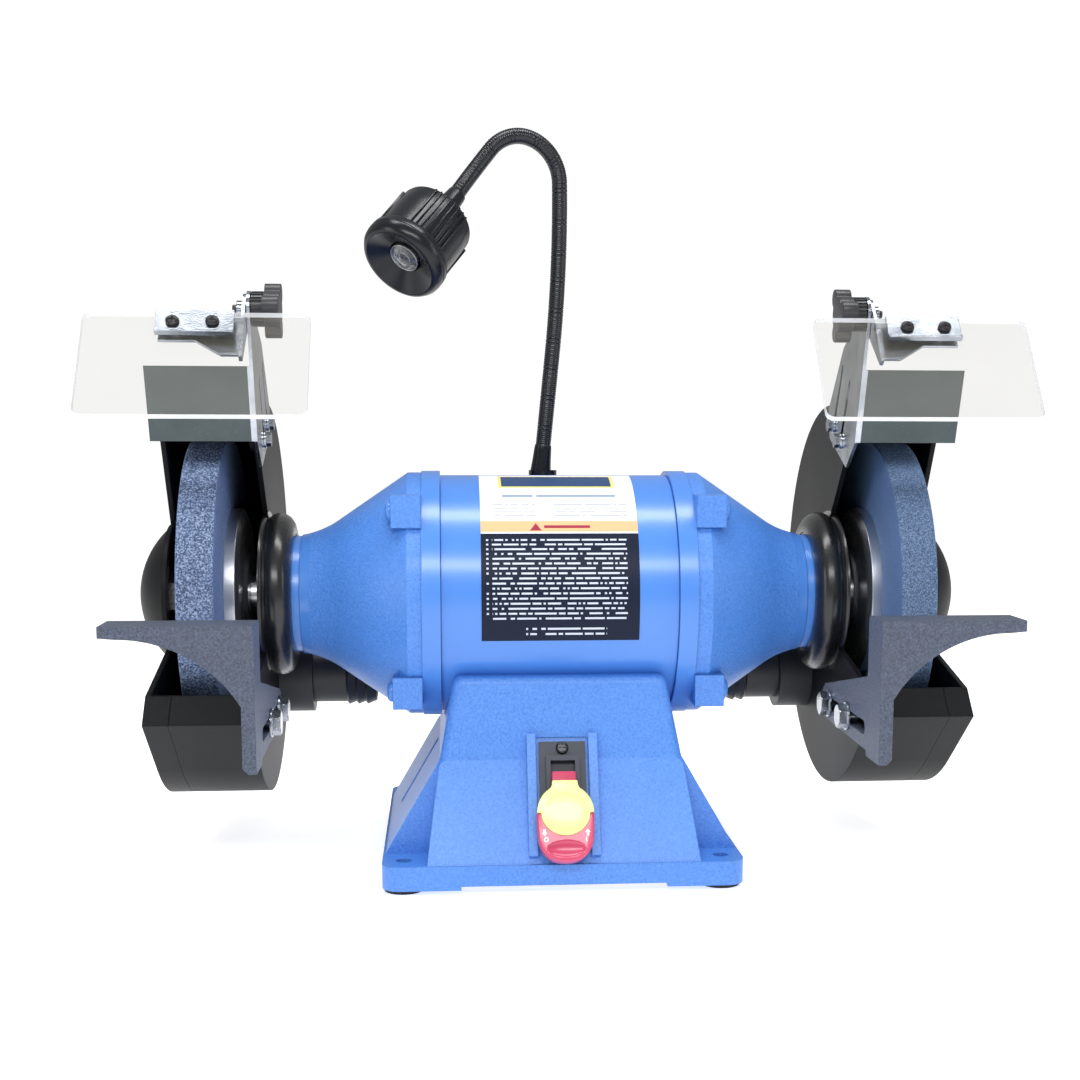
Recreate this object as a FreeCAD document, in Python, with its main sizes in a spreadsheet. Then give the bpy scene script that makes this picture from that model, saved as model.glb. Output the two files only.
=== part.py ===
"""Ten-inch industrial bench grinder: cast base, totally enclosed motor, two guarded wheels and a work lamp.

Frame: +X along the spindle to the right, front towards -Y, +Z up. The origin is the centre of the
four mounting holes, on the surface that the rubber feet stand on.
"""
import FreeCAD, Part
import math
import os

import Sketcher
from FreeCAD import Placement, Rotation, Vector

X_AXIS, Y_AXIS, Z_AXIS = Vector(1, 0, 0), Vector(0, 1, 0), Vector(0, 0, 1)
BACK = Vector(0, 0, 0)

SIZES = {
    # shaft line and base
    "axis_height": 217, "foot_gap": 4, "base_half_x": 139.5, "base_half_y": 145, "slab": 19,
    "shoulder_z": 97, "saddle_z": 160, "shoulder_x": 95, "shoulder_y": 105, "top_x": 83, "top_y": 92,
    "skirt_x": 105, "skirt_y": 143, "flank_x": 138, "wall": 7, "hole_x": 123, "hole_y": 124, "hole_r": 6,
    "foot_r": 15, "corner_r": 14, "notch_x": 79, "notch_z": 3, "plate_z": 3,
    # motor
    "shell_r": 97, "shell_wall": 4, "shell_x": 92.6, "flange_x": 92.9, "flange_r": 100.5, "band_x": 107.8,
    "strip_r": 99.2, "strip_x": 119, "cone_x": 173, "cone_r": 62.3, "throat_x": 205, "throat_r": 48.5,
    "throat_round": 76.4,
    "neck_r": 47.5, "neck_x": 225.5, "lug_at": 71, "lug_half": 12.5, "lug_x": 131,
    "stator_in": 50.6, "stator_x": 45, "rotor_r": 50, "coil_x": 74,
    # spindle and bearings
    "journal_r": 15, "core_r": 19, "arbor_r": 12.6, "arbor_x": 247, "spindle_x": 320,
    "seat_in": 181, "seat_out": 197, "bearing_r": 31, "ball_r": 4.75, "ball_ring": 23.25,
    # wheels
    "wheel_r": 127, "wheel_in": 261, "wheel_out": 289, "wheel_bore": 12.8, "flange_disc_r": 70,
    "nut_x": 303, "nut_flats": 38, "nut_len": 15,
    # guards
    "guard_r": 158, "guard_drop": -3, "guard_wall": 4, "guard_in": 232, "seam": 292, "guard_out": 311,
    "hub_r": 64, "hub_x": 212, "dome_r": 55, "dome_rise": 25, "ridge_y": -156, "ridge_z": -81,
    "lip_y": -138, "lip_z": -62, "brow_deg": 118, "cover_brow_deg": 108, "chin_deg": 232,
    # tool rests
    "rest_in": 222, "rest_out": 328, "rest_front": -215, "rest_depth": 37, "rest_top": -1, "rest_low": -106,
    "rest_tip": 8, "rest_round": 98, "rest_slot_z": -86, "rest_bolt_back": -60, "rest_bolt_front": -120,
    "rest_travel_in": 48, "rest_travel_out": 10,
    # eye shields
    "arm_in": 229.2, "arm_sheet": 2.5, "arm_out": 309, "pivot_y": -110, "pivot_z": 221, "lean_deg": 18,
    "arm_foot_y": -92, "arm_foot_z": 124.5, "arm_rise": 58,
    "arm_bolt_y": -46, "arm_bolt_z": 126, "arm_bolt_back_y": -22, "arm_bolt_back_z": 139,
    "slot_lean": 28, "slot_long": 50, "ear_in": 232, "shield_in": 184, "shield_out": 345, "shield_long": 90,
    "shield_thick": 5, "shield_tilt": 36, "shield_top": -19.5, "shield_face": -19, "strip_wide": 21,
    "strip_in": 238, "strip_out": 293, "knob_r": 22,
    # dust outlets
    "outlet_y": 80, "outlet_z": -78, "outlet_r": 25, "outlet_end": 150, "outlet_collar": 33,
    # lamp
    "lamp_x": -5, "lamp_y": 60, "lamp_seat": 66, "lamp_boss": 100, "stem_z": 116, "hose_r": 6.1,
    "head_r": 33, "head_long": 46, "bezel_r": 35.5, "bezel_long": 14, "lens_r": 11.5,
    # switch
    "switch_y": -103, "switch_z": 112, "switch_lean": 25, "plate_x": 18, "plate_long": 86,
    "paddle_x": 22, "paddle_long": 62, "disc_r": 23,
    # fasteners
    "m5": 2.5, "m6": 3, "m8": 4, "m10": 5,
}

doc = FreeCAD.newDocument("bench_grinder")
sheet = doc.addObject("Spreadsheet::Sheet", "Sizes")
for row, (alias, number) in enumerate(SIZES.items(), start=1):
    sheet.set(f"A{row}", alias.replace("_", " "))
    sheet.set(f"B{row}", str(number))
    sheet.setAlias(f"B{row}", alias)
doc.recompute()

NODES = []


# ---------------------------------------------------------------- helpers
def size(alias):
    """The driving dimension in the sheet, as a number."""
    return float(getattr(sheet, alias))


def words(text):
    """Splits 'a - b + 3' into signed terms; a term is a number or an alias of the sheet."""
    sign = 1
    for word in str(text).split():
        if word in "+-":
            sign = 1 if word == "+" else -1
            continue
        lead, name = (-sign, word[1:]) if word[0] == "-" else (sign, word)
        yield lead, name
        sign = 1


def amount(text):
    """The value of a sum of aliases and numbers."""
    return sum(lead * (size(name) if name[0].isalpha() else float(name)) for lead, name in words(text))


def formula(text):
    """The same sum as an expression on the sheet."""
    terms = ["Sizes." + name if name[0].isalpha() else name for _, name in words(text)]
    signs = ["-" if lead < 0 else "+" for lead, _ in words(text)]
    return " ".join(f"{sign} {term}" for sign, term in zip(signs, terms)).lstrip("+ ")


def bind(obj, **properties):
    """Binds properties of an object to sums of the sheet's cells."""
    for name, text in properties.items():
        obj.setExpression(name, formula(text))
    return obj


def place(obj, at=(0, 0, 0), turn=None, about=BACK):
    """Turns an object about a point, then moves it."""
    turned = Placement(BACK, turn or Rotation(), about)
    obj.Placement = Placement(Vector(*at), Rotation()) * turned
    return obj


def node(obj, label, on_axis=False):
    """Keeps an object as a sub-part under its own name, lifted to the shaft line if it is drawn about it."""
    if obj.Name != label:
        obj.Label = label
    if on_axis:
        obj.Placement = Placement(Vector(0, 0, size("axis_height")), Rotation()) * obj.Placement
    NODES.append(obj)
    return obj


def mirrored(source, label):
    """The left-hand copy of a right-hand piece."""
    left = doc.addObject("Part::Mirroring", label)
    left.Source = source
    left.Normal = X_AXIS
    left.Label = label
    NODES.append(left)
    return left


def plane_of(body, role):
    return next(item for item in body.Origin.OriginFeatures if item.Role == role)


def arc_centre(first, last, radius, major):
    """The centre of the anticlockwise arc from one point to another."""
    chord = last - first
    rise = math.sqrt(max(radius ** 2 - (chord.Length / 2) ** 2, 0))
    left = Vector(-chord.y, chord.x, 0).normalize()
    return (first + last) / 2 + left * (-rise if major else rise)


def outline(body, name, role, points, arcs=None, lift=None):
    """A closed sketch on an origin plane. Points are pairs of sums; arcs maps an edge's number to
    (radius, anticlockwise, more than half a turn)."""
    sketch = body.newObject("Sketcher::SketchObject", name)
    sketch.AttachmentSupport = [(plane_of(body, role), "")]
    sketch.MapMode = "FlatFace"
    if lift is not None:
        sketch.AttachmentOffset = Placement(Vector(0, 0, amount(lift)), Rotation())
        sketch.setExpression("AttachmentOffset.Base.z", formula(lift))
    spots = [Vector(amount(px), amount(py), 0) for px, py in points]
    ends = []
    for index, spot in enumerate(spots):
        following = spots[(index + 1) % len(spots)]
        arc = (arcs or {}).get(index)
        if arc is None:
            sketch.addGeometry(Part.LineSegment(spot, following), False)
            ends.append((1, 2))
            continue
        radius, ccw, major = arc
        first, last = (spot, following) if ccw else (following, spot)
        centre = arc_centre(first, last, amount(radius), major)
        start = math.atan2(first.y - centre.y, first.x - centre.x)
        stop = math.atan2(last.y - centre.y, last.x - centre.x)
        stop += 2 * math.pi if stop <= start else 0
        circle = Part.Circle(centre, Z_AXIS, amount(radius))
        sketch.addGeometry(Part.ArcOfCircle(circle, start, stop), False)
        ends.append((1, 2) if ccw else (2, 1))
    for index in range(len(spots)):
        following = (index + 1) % len(spots)
        sketch.addConstraint(
            Sketcher.Constraint("Coincident", index, ends[index][1], following, ends[following][0])
        )
    for index, (radius, _, _) in (arcs or {}).items():
        chord = (spots[(index + 1) % len(spots)] - spots[index]).Length
        if chord > 2 * amount(radius) - 0.01:
            continue  # a half circle is already fixed by its ends
        number = sketch.addConstraint(Sketcher.Constraint("Radius", index, amount(radius)))
        if any(name[0].isalpha() for _, name in words(radius)):
            sketch.setExpression(f"Constraints[{number}]", formula(radius))
    for index, (px, py) in enumerate(points):
        for kind, text in (("DistanceX", px), ("DistanceY", py)):
            constraint = Sketcher.Constraint(kind, -1, 1, index, ends[index][0], amount(text))
            number = sketch.addConstraint(constraint)
            if any(name[0].isalpha() for _, name in words(text)):
                sketch.setExpression(f"Constraints[{number}]", formula(text))
    return sketch


def new_body(name):
    return doc.addObject("PartDesign::Body", name)


def turned(name, points, arcs=None, body=None):
    """A body turned about the shaft line from a half outline of (x, radius) points."""
    body = body or new_body(name)
    profile = outline(body, name + "_profile", "XZ_Plane", points, arcs)
    revolution = body.newObject("PartDesign::Revolution", name + "_turned")
    revolution.Profile = profile
    revolution.ReferenceAxis = (profile, ["H_Axis"])
    revolution.Angle = 360
    doc.recompute()
    return body


def padded(body, name, role, points, length, arcs=None, lift=None, cut=False):
    """Adds, or cuts, the outline pulled along its plane's normal."""
    profile = outline(body, name + "_outline", role, points, arcs, lift)
    feature = body.newObject("PartDesign::Pocket" if cut else "PartDesign::Pad", name)
    feature.Profile = profile
    feature.Length = amount(length)
    bind(feature, Length=length)
    if cut:
        feature.Reversed = True
    doc.recompute()
    return feature


def solid(kind, name, **properties):
    """A Part primitive with its sizes bound to the sheet."""
    return bind(doc.addObject("Part::" + kind, name), **properties)


def rod(name, radius, length, start, direction=Z_AXIS):
    """A cylinder from a start point along a direction."""
    cylinder = solid("Cylinder", name, Radius=radius, Height=length)
    cylinder.Placement = Placement(Vector(*start), Rotation(Z_AXIS, direction))
    return cylinder


def block(name, low, high):
    """A box between two corners."""
    spans = [f"{amount(top) - amount(bottom):.6f}" for bottom, top in zip(low, high)]
    box = solid("Box", name, Length=spans[0], Width=spans[1], Height=spans[2])
    box.Placement.Base = Vector(*[amount(value) for value in low])
    return box


def joined(name, *pieces):
    fuse = doc.addObject("Part::MultiFuse", name)
    fuse.Shapes = list(pieces)
    fuse.Refine = True
    return fuse


def without(name, base, *tools):
    cut = doc.addObject("Part::Cut", name)
    cut.Base = base
    cut.Tool = joined(name + "_tools", *tools) if len(tools) > 1 else tools[0]
    cut.Refine = True
    return cut


def shaped(name, shape):
    """A feature whose shape is computed here from the sheet's sizes."""
    feature = doc.addObject("Part::Feature", name)
    feature.Shape = shape
    return feature


def repeated(label, shape, spots, on_axis=False):
    """One node that groups the same piece at several placements, as separate solids."""
    copies = [shape.transformed(spot.toMatrix(), True) for spot in spots]
    return node(shaped(label, Part.makeCompound(copies)), label, on_axis)


def hexagon(across_flats, length):
    radius = across_flats / math.sqrt(3)
    corners = [Vector(radius * math.cos(a), radius * math.sin(a), 0) for a in
               (math.radians(60 * k) for k in range(7))]
    return Part.Face(Part.makePolygon(corners)).extrude(Vector(0, 0, length))


def hex_bolt(radius, grip, across_flats, washer_r):
    """A bolt along +Z: the shank's end at 0, the washer on the work at grip, then the head."""
    washer, head = 1.6, 1.3 * radius
    crown = hexagon(across_flats, head).common(Part.makeCone(across_flats / 2 + head, across_flats / 2 * 0.98,
                                                             head * 1.2, Vector(0, 0, -head * 0.1)))
    crown.translate(Vector(0, 0, grip + washer))
    shank = Part.makeCylinder(radius, grip + washer + 1)
    disc = Part.makeCylinder(washer_r, washer, Vector(0, 0, grip))
    return shank.fuse([disc, crown]).removeSplitter()


def pan_screw(radius, grip):
    """A recessed pan-head screw along +Z: the shank's end at 0, the head's seat at grip."""
    head_r, head_z = 2 * radius, 1.1 * radius
    dome = Part.makeCylinder(head_r, head_z)
    edge = [item for item in dome.Edges if abs(item.BoundBox.ZMin - head_z) < 1e-6 and item.Closed]
    dome = dome.makeFillet(head_z * 0.75, edge)
    for angle in (0, 90):
        slot = Part.makeBox(head_r * 1.15, radius * 0.36, head_z, Vector(-head_r * 0.575, -radius * 0.18, head_z * 0.45))
        slot.rotate(BACK, Z_AXIS, angle)
        dome = dome.cut(slot)
    dome.translate(Vector(0, 0, grip))
    return Part.makeCylinder(radius, grip + 0.1).fuse(dome).removeSplitter()


# ---------------------------------------------------------------- base
def tapered(name, low, high, bottom, top, shrink=0):
    """A four-sided block that narrows upwards: bottom and top are its half widths in X and Y."""
    (bottom_x, bottom_y), (top_x, top_y) = bottom, top
    wedge = doc.addObject("Part::Wedge", name)
    bottom_x, bottom_y, top_x, top_y = [
        f"{value} - {shrink}" if shrink else value for value in (bottom_x, bottom_y, top_x, top_y)
    ]
    bind(wedge, Ymin=low, Ymax=high, Xmin="-" + bottom_x.replace(" - ", " + "), Xmax=bottom_x,
         Zmin="-" + bottom_y.replace(" - ", " + "), Zmax=bottom_y, X2min="-" + top_x.replace(" - ", " + "),
         X2max=top_x, Z2min="-" + top_y.replace(" - ", " + "), Z2max=top_y)
    wedge.Placement = Placement(BACK, Rotation(X_AXIS, 90))
    return wedge


def switch_frame(along=0, out=0):
    """A placement on the sloped switch face: local Z points out of the face and local -Y runs down it."""
    slope = Rotation(X_AXIS, 90 - size("switch_lean"))
    start = Vector(0, size("switch_y"), size("switch_z"))
    return Placement(start, slope) * Placement(Vector(0, -along, out), Rotation())


def make_base():
    slab_top = "foot_gap + slab"
    upper = tapered("base_upper", "shoulder_z", "saddle_z", ("shoulder_x", "shoulder_y"), ("top_x", "top_y"))
    skirt = tapered("base_skirt", slab_top, "shoulder_z", ("skirt_x", "skirt_y"), ("shoulder_x", "shoulder_y"))
    flank = tapered("base_flank", slab_top, "shoulder_z", ("flank_x", "shoulder_y"), ("shoulder_x", "shoulder_y"))
    slab = block("base_slab", ("-base_half_x", "-base_half_y", "foot_gap"), ("base_half_x", "base_half_y", slab_top))
    doc.recompute()
    rounded = doc.addObject("Part::Fillet", "base_slab_round")
    rounded.Base = slab
    corner = size("corner_r")
    rounded.Edges = [(number, corner, corner) for number, edge in enumerate(slab.Shape.Edges, start=1)
                     if edge.BoundBox.ZLength > size("slab") - 1]
    outside = joined("base_outside", upper, skirt, flank, rounded)
    doc.recompute()
    softened = doc.addObject("Part::Fillet", "base_softened")
    softened.Base = outside
    softened.Edges = [(number, 7, 7) for number, edge in enumerate(outside.Shape.Edges, start=1)
                      if edge.BoundBox.ZMax > size("saddle_z") - 1 and edge.BoundBox.ZMin > size("shoulder_z") - 1]
    inner_upper = tapered("hollow_upper", "shoulder_z - 0.5", "saddle_z - wall", ("shoulder_x", "shoulder_y"),
                          ("top_x", "top_y"), "wall")
    inner_skirt = tapered("hollow_skirt", slab_top, "shoulder_z", ("skirt_x", "skirt_y"),
                          ("shoulder_x", "shoulder_y"), "wall")
    inner_flank = tapered("hollow_flank", slab_top, "shoulder_z", ("flank_x", "shoulder_y"),
                          ("shoulder_x", "shoulder_y"), "wall")
    inner_slab = block("hollow_slab", ("-skirt_x + wall", "-base_half_y + 12", "foot_gap - 1"),
                       ("skirt_x - wall", "base_half_y - 12", slab_top))
    middle = block("hollow_middle", ("-base_half_x + 12", "-shoulder_y + wall", "foot_gap - 1"),
                   ("base_half_x - 12", "shoulder_y - wall", slab_top))
    shaft_line = Vector(-150, 0, size("axis_height"))
    keep = rod("saddle_skin", "shell_r + wall + 0.3", "300", shaft_line, X_AXIS)
    hollow = without("base_hollow", joined("hollow_all", inner_upper, inner_skirt, inner_flank, inner_slab, middle),
                     keep)
    saddle = rod("saddle_cut", "shell_r + 0.05", "300", shaft_line, X_AXIS)
    tools = [hollow, saddle]
    for side_x in (-1, 1):
        for side_y in (-1, 1):
            spot = (side_x * size("hole_x"), side_y * size("hole_y"), -1)
            tools.append(rod(f"foot_hole_{side_x}_{side_y}", "hole_r", "40", spot))
        tools.append(rod(f"saddle_hole_{side_x}", "m8 + 0.3", "60", (side_x * 58, 0, 90)))
        groove = block(f"flank_groove_{side_x}", ("-4", "-6", "-22"), ("4", "6", "40"))
        flare = math.degrees(math.atan2(size("flank_x") - size("shoulder_x"), size("shoulder_z") - size("slab") - 4))
        middle_x = (size("flank_x") + size("shoulder_x")) / 2
        groove.Placement = Placement(Vector(side_x * middle_x, 0, 60), Rotation(Y_AXIS, -side_x * flare),
                                     BACK) * groove.Placement
        tools.append(groove)
    for side_y in (-1, 1):
        low = ("-notch_x", "base_half_y - 20" if side_y > 0 else "-base_half_y - 1", "foot_gap - 1")
        high = ("notch_x", "base_half_y + 1" if side_y > 0 else "-base_half_y + 20", "foot_gap + notch_z")
        tools.append(block(f"rim_notch_{side_y}", low, high))
    gland_x, gland_z, gland_seat = -45, 55, 127.4
    tools.append(rod("gland_hole", "8.1", "60", (gland_x, 150, gland_z), Vector(0, -1, 0)))
    tools.append(rod("gland_spotface", "15.5", "30", (gland_x, gland_seat, gland_z), Y_AXIS))
    pocket = shaped("switch_pocket", Part.makeBox(40, 94, 30, Vector(-20, -92, -1.5)))
    pocket.Placement = switch_frame()
    window = shaped("switch_window", Part.makeBox(28, 56, 40, Vector(-14, -70, -38)))
    window.Placement = switch_frame()
    cheeks = []
    for side_x in (-1, 1):
        cheek = shaped(f"switch_cheek_{side_x}", Part.makeBox(7, 96, 12, Vector(side_x * 24 - 3.5, -92, -8)))
        cheek.Placement = switch_frame()
        cheeks.append(cheek)
    backing = shaped("switch_backing", Part.makeBox(54, 92, 9, Vector(-27, -92, -9)))
    backing.Placement = switch_frame()
    pad = without("gland_pad", rod("gland_pad_rod", "17", "13", (gland_x, gland_seat - 13, gland_z), Y_AXIS),
                  rod("gland_pad_hole", "8.1", "60", (gland_x, 100, gland_z), Y_AXIS))
    shell = joined("base_padded", without("base_shell", softened, *tools), pad)
    posts = []
    taps = []
    for side_x in (-1, 1):
        for side_y in (-1, 1):
            spot = side_x * 60, side_y * 110
            posts.append(rod(f"plate_post_{side_x}_{side_y}", "6", "59", (*spot, size("foot_gap") + 5.1)))
            taps.append(rod(f"plate_tap_{side_x}_{side_y}", "m5", "15", (*spot, size("foot_gap"))))
    screw_tap = shaped("switch_tap", Part.makeCylinder(size("m5"), 14, Vector(0, -7.5, -12)))
    screw_tap.Placement = switch_frame()
    taps.append(screw_tap)
    whole = joined("base_with_posts", shell, backing, *cheeks, *posts)
    node(without("base_machined", whole, pocket, window, *taps), "base_casting")


def make_base_trim():
    under = block("plate_sheet", ("-skirt_x + wall + 0.5", "-base_half_y + 12.5", "foot_gap + notch_z"),
                  ("skirt_x - wall - 0.5", "base_half_y - 12.5", "foot_gap + notch_z + 2"))
    holes = [rod(f"plate_hole_{sx}_{sy}", "m5 + 0.3", "20", (sx * 60, sy * 110, 0)) for sx in (-1, 1) for sy in (-1, 1)]
    node(without("base_bottom_plate", under, *holes), "base_bottom_plate")
    screw = pan_screw(size("m5"), 10)
    underside = size("foot_gap") + size("notch_z")
    spots = [Placement(Vector(sx * 60, sy * 110, underside + 10), Rotation(X_AXIS, 180))
             for sx in (-1, 1) for sy in (-1, 1)]
    repeated("bottom_plate_screws", screw, spots)
    foot = Part.makeCylinder(size("foot_r"), size("foot_gap")).cut(Part.makeCylinder(size("hole_r") + 0.5, 10))
    corners = [Placement(Vector(sx * size("hole_x"), sy * size("hole_y"), 0), Rotation())
               for sx in (-1, 1) for sy in (-1, 1)]
    repeated("rubber_feet", foot, corners)
    nut = hexagon(24, 7)
    barrel = Part.makeCylinder(8, 30, Vector(0, 0, -14))
    cap = Part.makeCone(11, 8.5, 12, Vector(0, 0, 7))
    bore = Part.makeCylinder(4, 60, Vector(0, 0, -20))
    gland = shaped("cable_gland", nut.fuse([barrel, cap]).cut(bore).removeSplitter())
    gland.Placement = Placement(Vector(-45, 127.5, 55), Rotation(Z_AXIS, Y_AXIS))
    node(gland, "cable_gland")
    case = rod("capacitor_can", "20", "85", (-20, 60, 45), X_AXIS)
    stud = rod("capacitor_stud", "4", "12", (65, 60, 45), X_AXIS)
    node(joined("run_capacitor", case, stud), "run_capacitor")


def make_switch():
    plate = Part.makeBox(2 * size("plate_x"), size("plate_long"), 3,
                         Vector(-size("plate_x"), -size("plate_long") - 2, -1.4))
    frame = Part.makeBox(26, 70, 4, Vector(-13, -84, 1.6))
    window = Part.makeBox(19, 60, 30, Vector(-9.5, -78, -5))
    plate = plate.fuse(frame).cut(window).cut(Part.makeCylinder(2.6, 20, Vector(0, -7.5, -10)))
    trim = shaped("switch_plate", plate.removeSplitter())
    trim.Placement = switch_frame()
    node(trim, "switch_plate")
    housing = shaped("switch_body", Part.makeBox(26, 54, 26, Vector(-13, -69, -27.7)))
    housing.Placement = switch_frame()
    node(housing, "switch_body")
    head = pan_screw(size("m5"), 7)
    repeated("switch_screw", head, [switch_frame(7.5, 1.6 - 7 + 0.02)])
    # the paddle hangs from a pin across its upper tab and covers the plate's lower half
    tab = Part.makeBox(18, 30, 8, Vector(-9, -46, 6.2))
    top, length, half = -40, size("paddle_long"), size("paddle_x")
    straight = Part.makeBox(2 * half, length - half, 13, Vector(-half, top - length + half, 7))
    curve = Part.makeCylinder(half, 13, Vector(0, top - length + half, 7))
    paddle = tab.fuse([straight, curve]).removeSplitter()
    seat = Part.makeCylinder(size("disc_r") + 0.4, 12, Vector(0, top - 22, 14))
    well = Part.makeSphere(30, Vector(0, top - length + 7, 20 + 26)).common(
        Part.makeBox(60, 40, 20, Vector(-30, top - length - 8, 10)))
    slot = Part.makeBox(17, 30, 20, Vector(-8.5, top - 4, 14))
    rocker = shaped("switch_paddle", paddle.cut(seat).cut(well).cut(slot).removeSplitter())
    rocker.Placement = switch_frame()
    node(rocker, "switch_paddle")
    disc = Part.makeCylinder(size("disc_r"), 8.5, Vector(0, top - 22, 14.3))
    rim = [item for item in disc.Edges if item.Closed and item.BoundBox.ZMin > 22]
    disc = disc.makeFillet(2.5, rim)
    stem = Part.makeBox(16, 20, 6, Vector(-8, top - 3.5, 14.3))
    key = shaped("switch_key", disc.fuse(stem).removeSplitter())
    key.Placement = switch_frame()
    node(key, "switch_key")


# ---------------------------------------------------------------- motor
def make_motor():
    shell_tube = turned("motor_shell_tube", [("-shell_x", "shell_r - shell_wall"), ("shell_x", "shell_r - shell_wall"),
                                             ("shell_x", "shell_r"), ("-shell_x", "shell_r")])
    taps = [rod(f"shell_tap_{side}", "m8", "30", (side * 58, 0, -110)) for side in (-1, 1)]
    lamp_tap = rod("shell_lamp_tap", "6", "40", (size("lamp_x"), size("lamp_y"), 50))
    node(without("motor_shell", shell_tube, lamp_tap, *taps), "motor_shell", True)
    bolt = hex_bolt(size("m8"), 10.9, 13, 8)
    shank_end = size("axis_height") - size("shell_r") + size("shell_wall")
    repeated("motor_bolts", bolt, [Placement(Vector(side * 58, 0, shank_end - 0.5), Rotation(X_AXIS, 180))
                                   for side in (-1, 1)])
    node(turned("core_blank", [("-stator_x", "stator_in"), ("stator_x", "stator_in"),
                                ("stator_x", "shell_r - shell_wall"), ("-stator_x", "shell_r - shell_wall")]),
         "stator_core", True)
    coil = Part.makeTorus(70, 13, BACK, X_AXIS)
    repeated("stator_windings", coil, [Placement(Vector(side * 58.2, 0, 0), Rotation()) for side in (-1, 1)], True)
    node(turned("rotor_blank", [("-stator_x - 12", "core_r"), ("stator_x + 12", "core_r"), ("stator_x + 12", "48"),
                          ("stator_x", "48"), ("stator_x", "rotor_r"), ("-stator_x", "rotor_r"),
                          ("-stator_x", "48"), ("-stator_x - 12", "48")]), "rotor", True)


def make_end_bells():
    bell = turned("bell_blank", [
        ("flange_x", "flange_r"), ("band_x", "flange_r"), ("band_x", "strip_r"), ("strip_x", "strip_r"),
        ("cone_x", "cone_r"), ("throat_x", "throat_r"), ("throat_x", "neck_r"), ("neck_x", "neck_r"),
        ("neck_x", "17.5"), ("seat_out + 2", "17.5"), ("seat_out + 2", "24"), ("seat_out", "24"),
        ("seat_out", "bearing_r"), ("seat_in - 4", "bearing_r"), ("seat_in - 4", "38"),
        ("cone_x - 6", "cone_r - 11.3"),
        ("strip_x", "shell_r - 6"), ("flange_x", "shell_r - shell_wall"),
    ], {4: ("throat_round", True, False)})
    sketch_points = []
    for step_y, step_z in ((-1, -1), (1, -1), (1, 1), (-1, 1)):
        sketch_points.append((f"lug_at {'+' if step_y > 0 else '-'} lug_half",
                              f"lug_at {'+' if step_z > 0 else '-'} lug_half"))
    lug = padded(bell, "bell_lug", "YZ_Plane", sketch_points, "lug_x - band_x", lift="band_x")
    pattern = bell.newObject("PartDesign::PolarPattern", "bell_lugs")
    pattern.Originals = [lug]
    pattern.Axis = (plane_of(bell, "X_Axis"), [""])
    pattern.Angle = 360
    pattern.Occurrences = 4
    bell.Tip = pattern
    doc.recompute()
    corners = [(step_y * size("lug_at"), step_z * size("lug_at")) for step_y in (-1, 1) for step_z in (-1, 1)]
    holes = [rod(f"lug_hole_{number}", "m8 + 0.1", "26", (size("lug_x") - 21, y, z), X_AXIS)
             for number, (y, z) in enumerate(corners)]
    drilled = without("bell_drilled", bell, *holes)
    node(drilled, "end_bell_right", True)
    mirrored(drilled, "end_bell_left")
    screw = pan_screw(size("m8"), 20)
    spots = [Placement(Vector(side * (size("lug_x") - 20 + 0.02), y, z), Rotation(Z_AXIS, Vector(side, 0, 0)))
             for side in (-1, 1) for y, z in corners]
    repeated("end_bell_screws", screw, spots, True)


def make_bearings():
    inner, outer, groove = "journal_r + 5.4", "bearing_r - 5", 4.85
    width = size("seat_out") - size("seat_in")
    middle = (size("seat_out") + size("seat_in")) / 2
    race = Part.makeTorus(size("ball_ring"), groove, BACK, X_AXIS)

    def ring(inside, outside):
        tube = Part.makeCylinder(outside, width, Vector(-width / 2, 0, 0), X_AXIS)
        return tube.cut(Part.makeCylinder(inside, width, Vector(-width / 2, 0, 0), X_AXIS)).cut(race)

    ends = [Placement(Vector(side * middle, 0, 0), Rotation()) for side in (-1, 1)]
    repeated("bearing_outer_rings", ring(amount(outer), size("bearing_r")), ends, True)
    repeated("bearing_inner_rings", ring(size("journal_r"), amount(inner)), ends, True)
    ball = Part.makeSphere(size("ball_r"))
    spots = []
    for side in (-1, 1):
        for step in range(9):
            angle = math.radians(40 * step)
            spots.append(Placement(Vector(side * middle, size("ball_ring") * math.cos(angle),
                                          size("ball_ring") * math.sin(angle)), Rotation()))
    repeated("bearing_balls", ball, spots, True)
    washer = turned("washer_blank", [("seat_in - 1.4", "bearing_r - 4.5"), ("seat_in - 0.4", "bearing_r - 4.5"),
                                    ("seat_in - 0.4", "bearing_r - 0.3"), ("seat_in - 1.4", "bearing_r - 0.3")])
    node(washer, "wave_washer", True)


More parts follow.
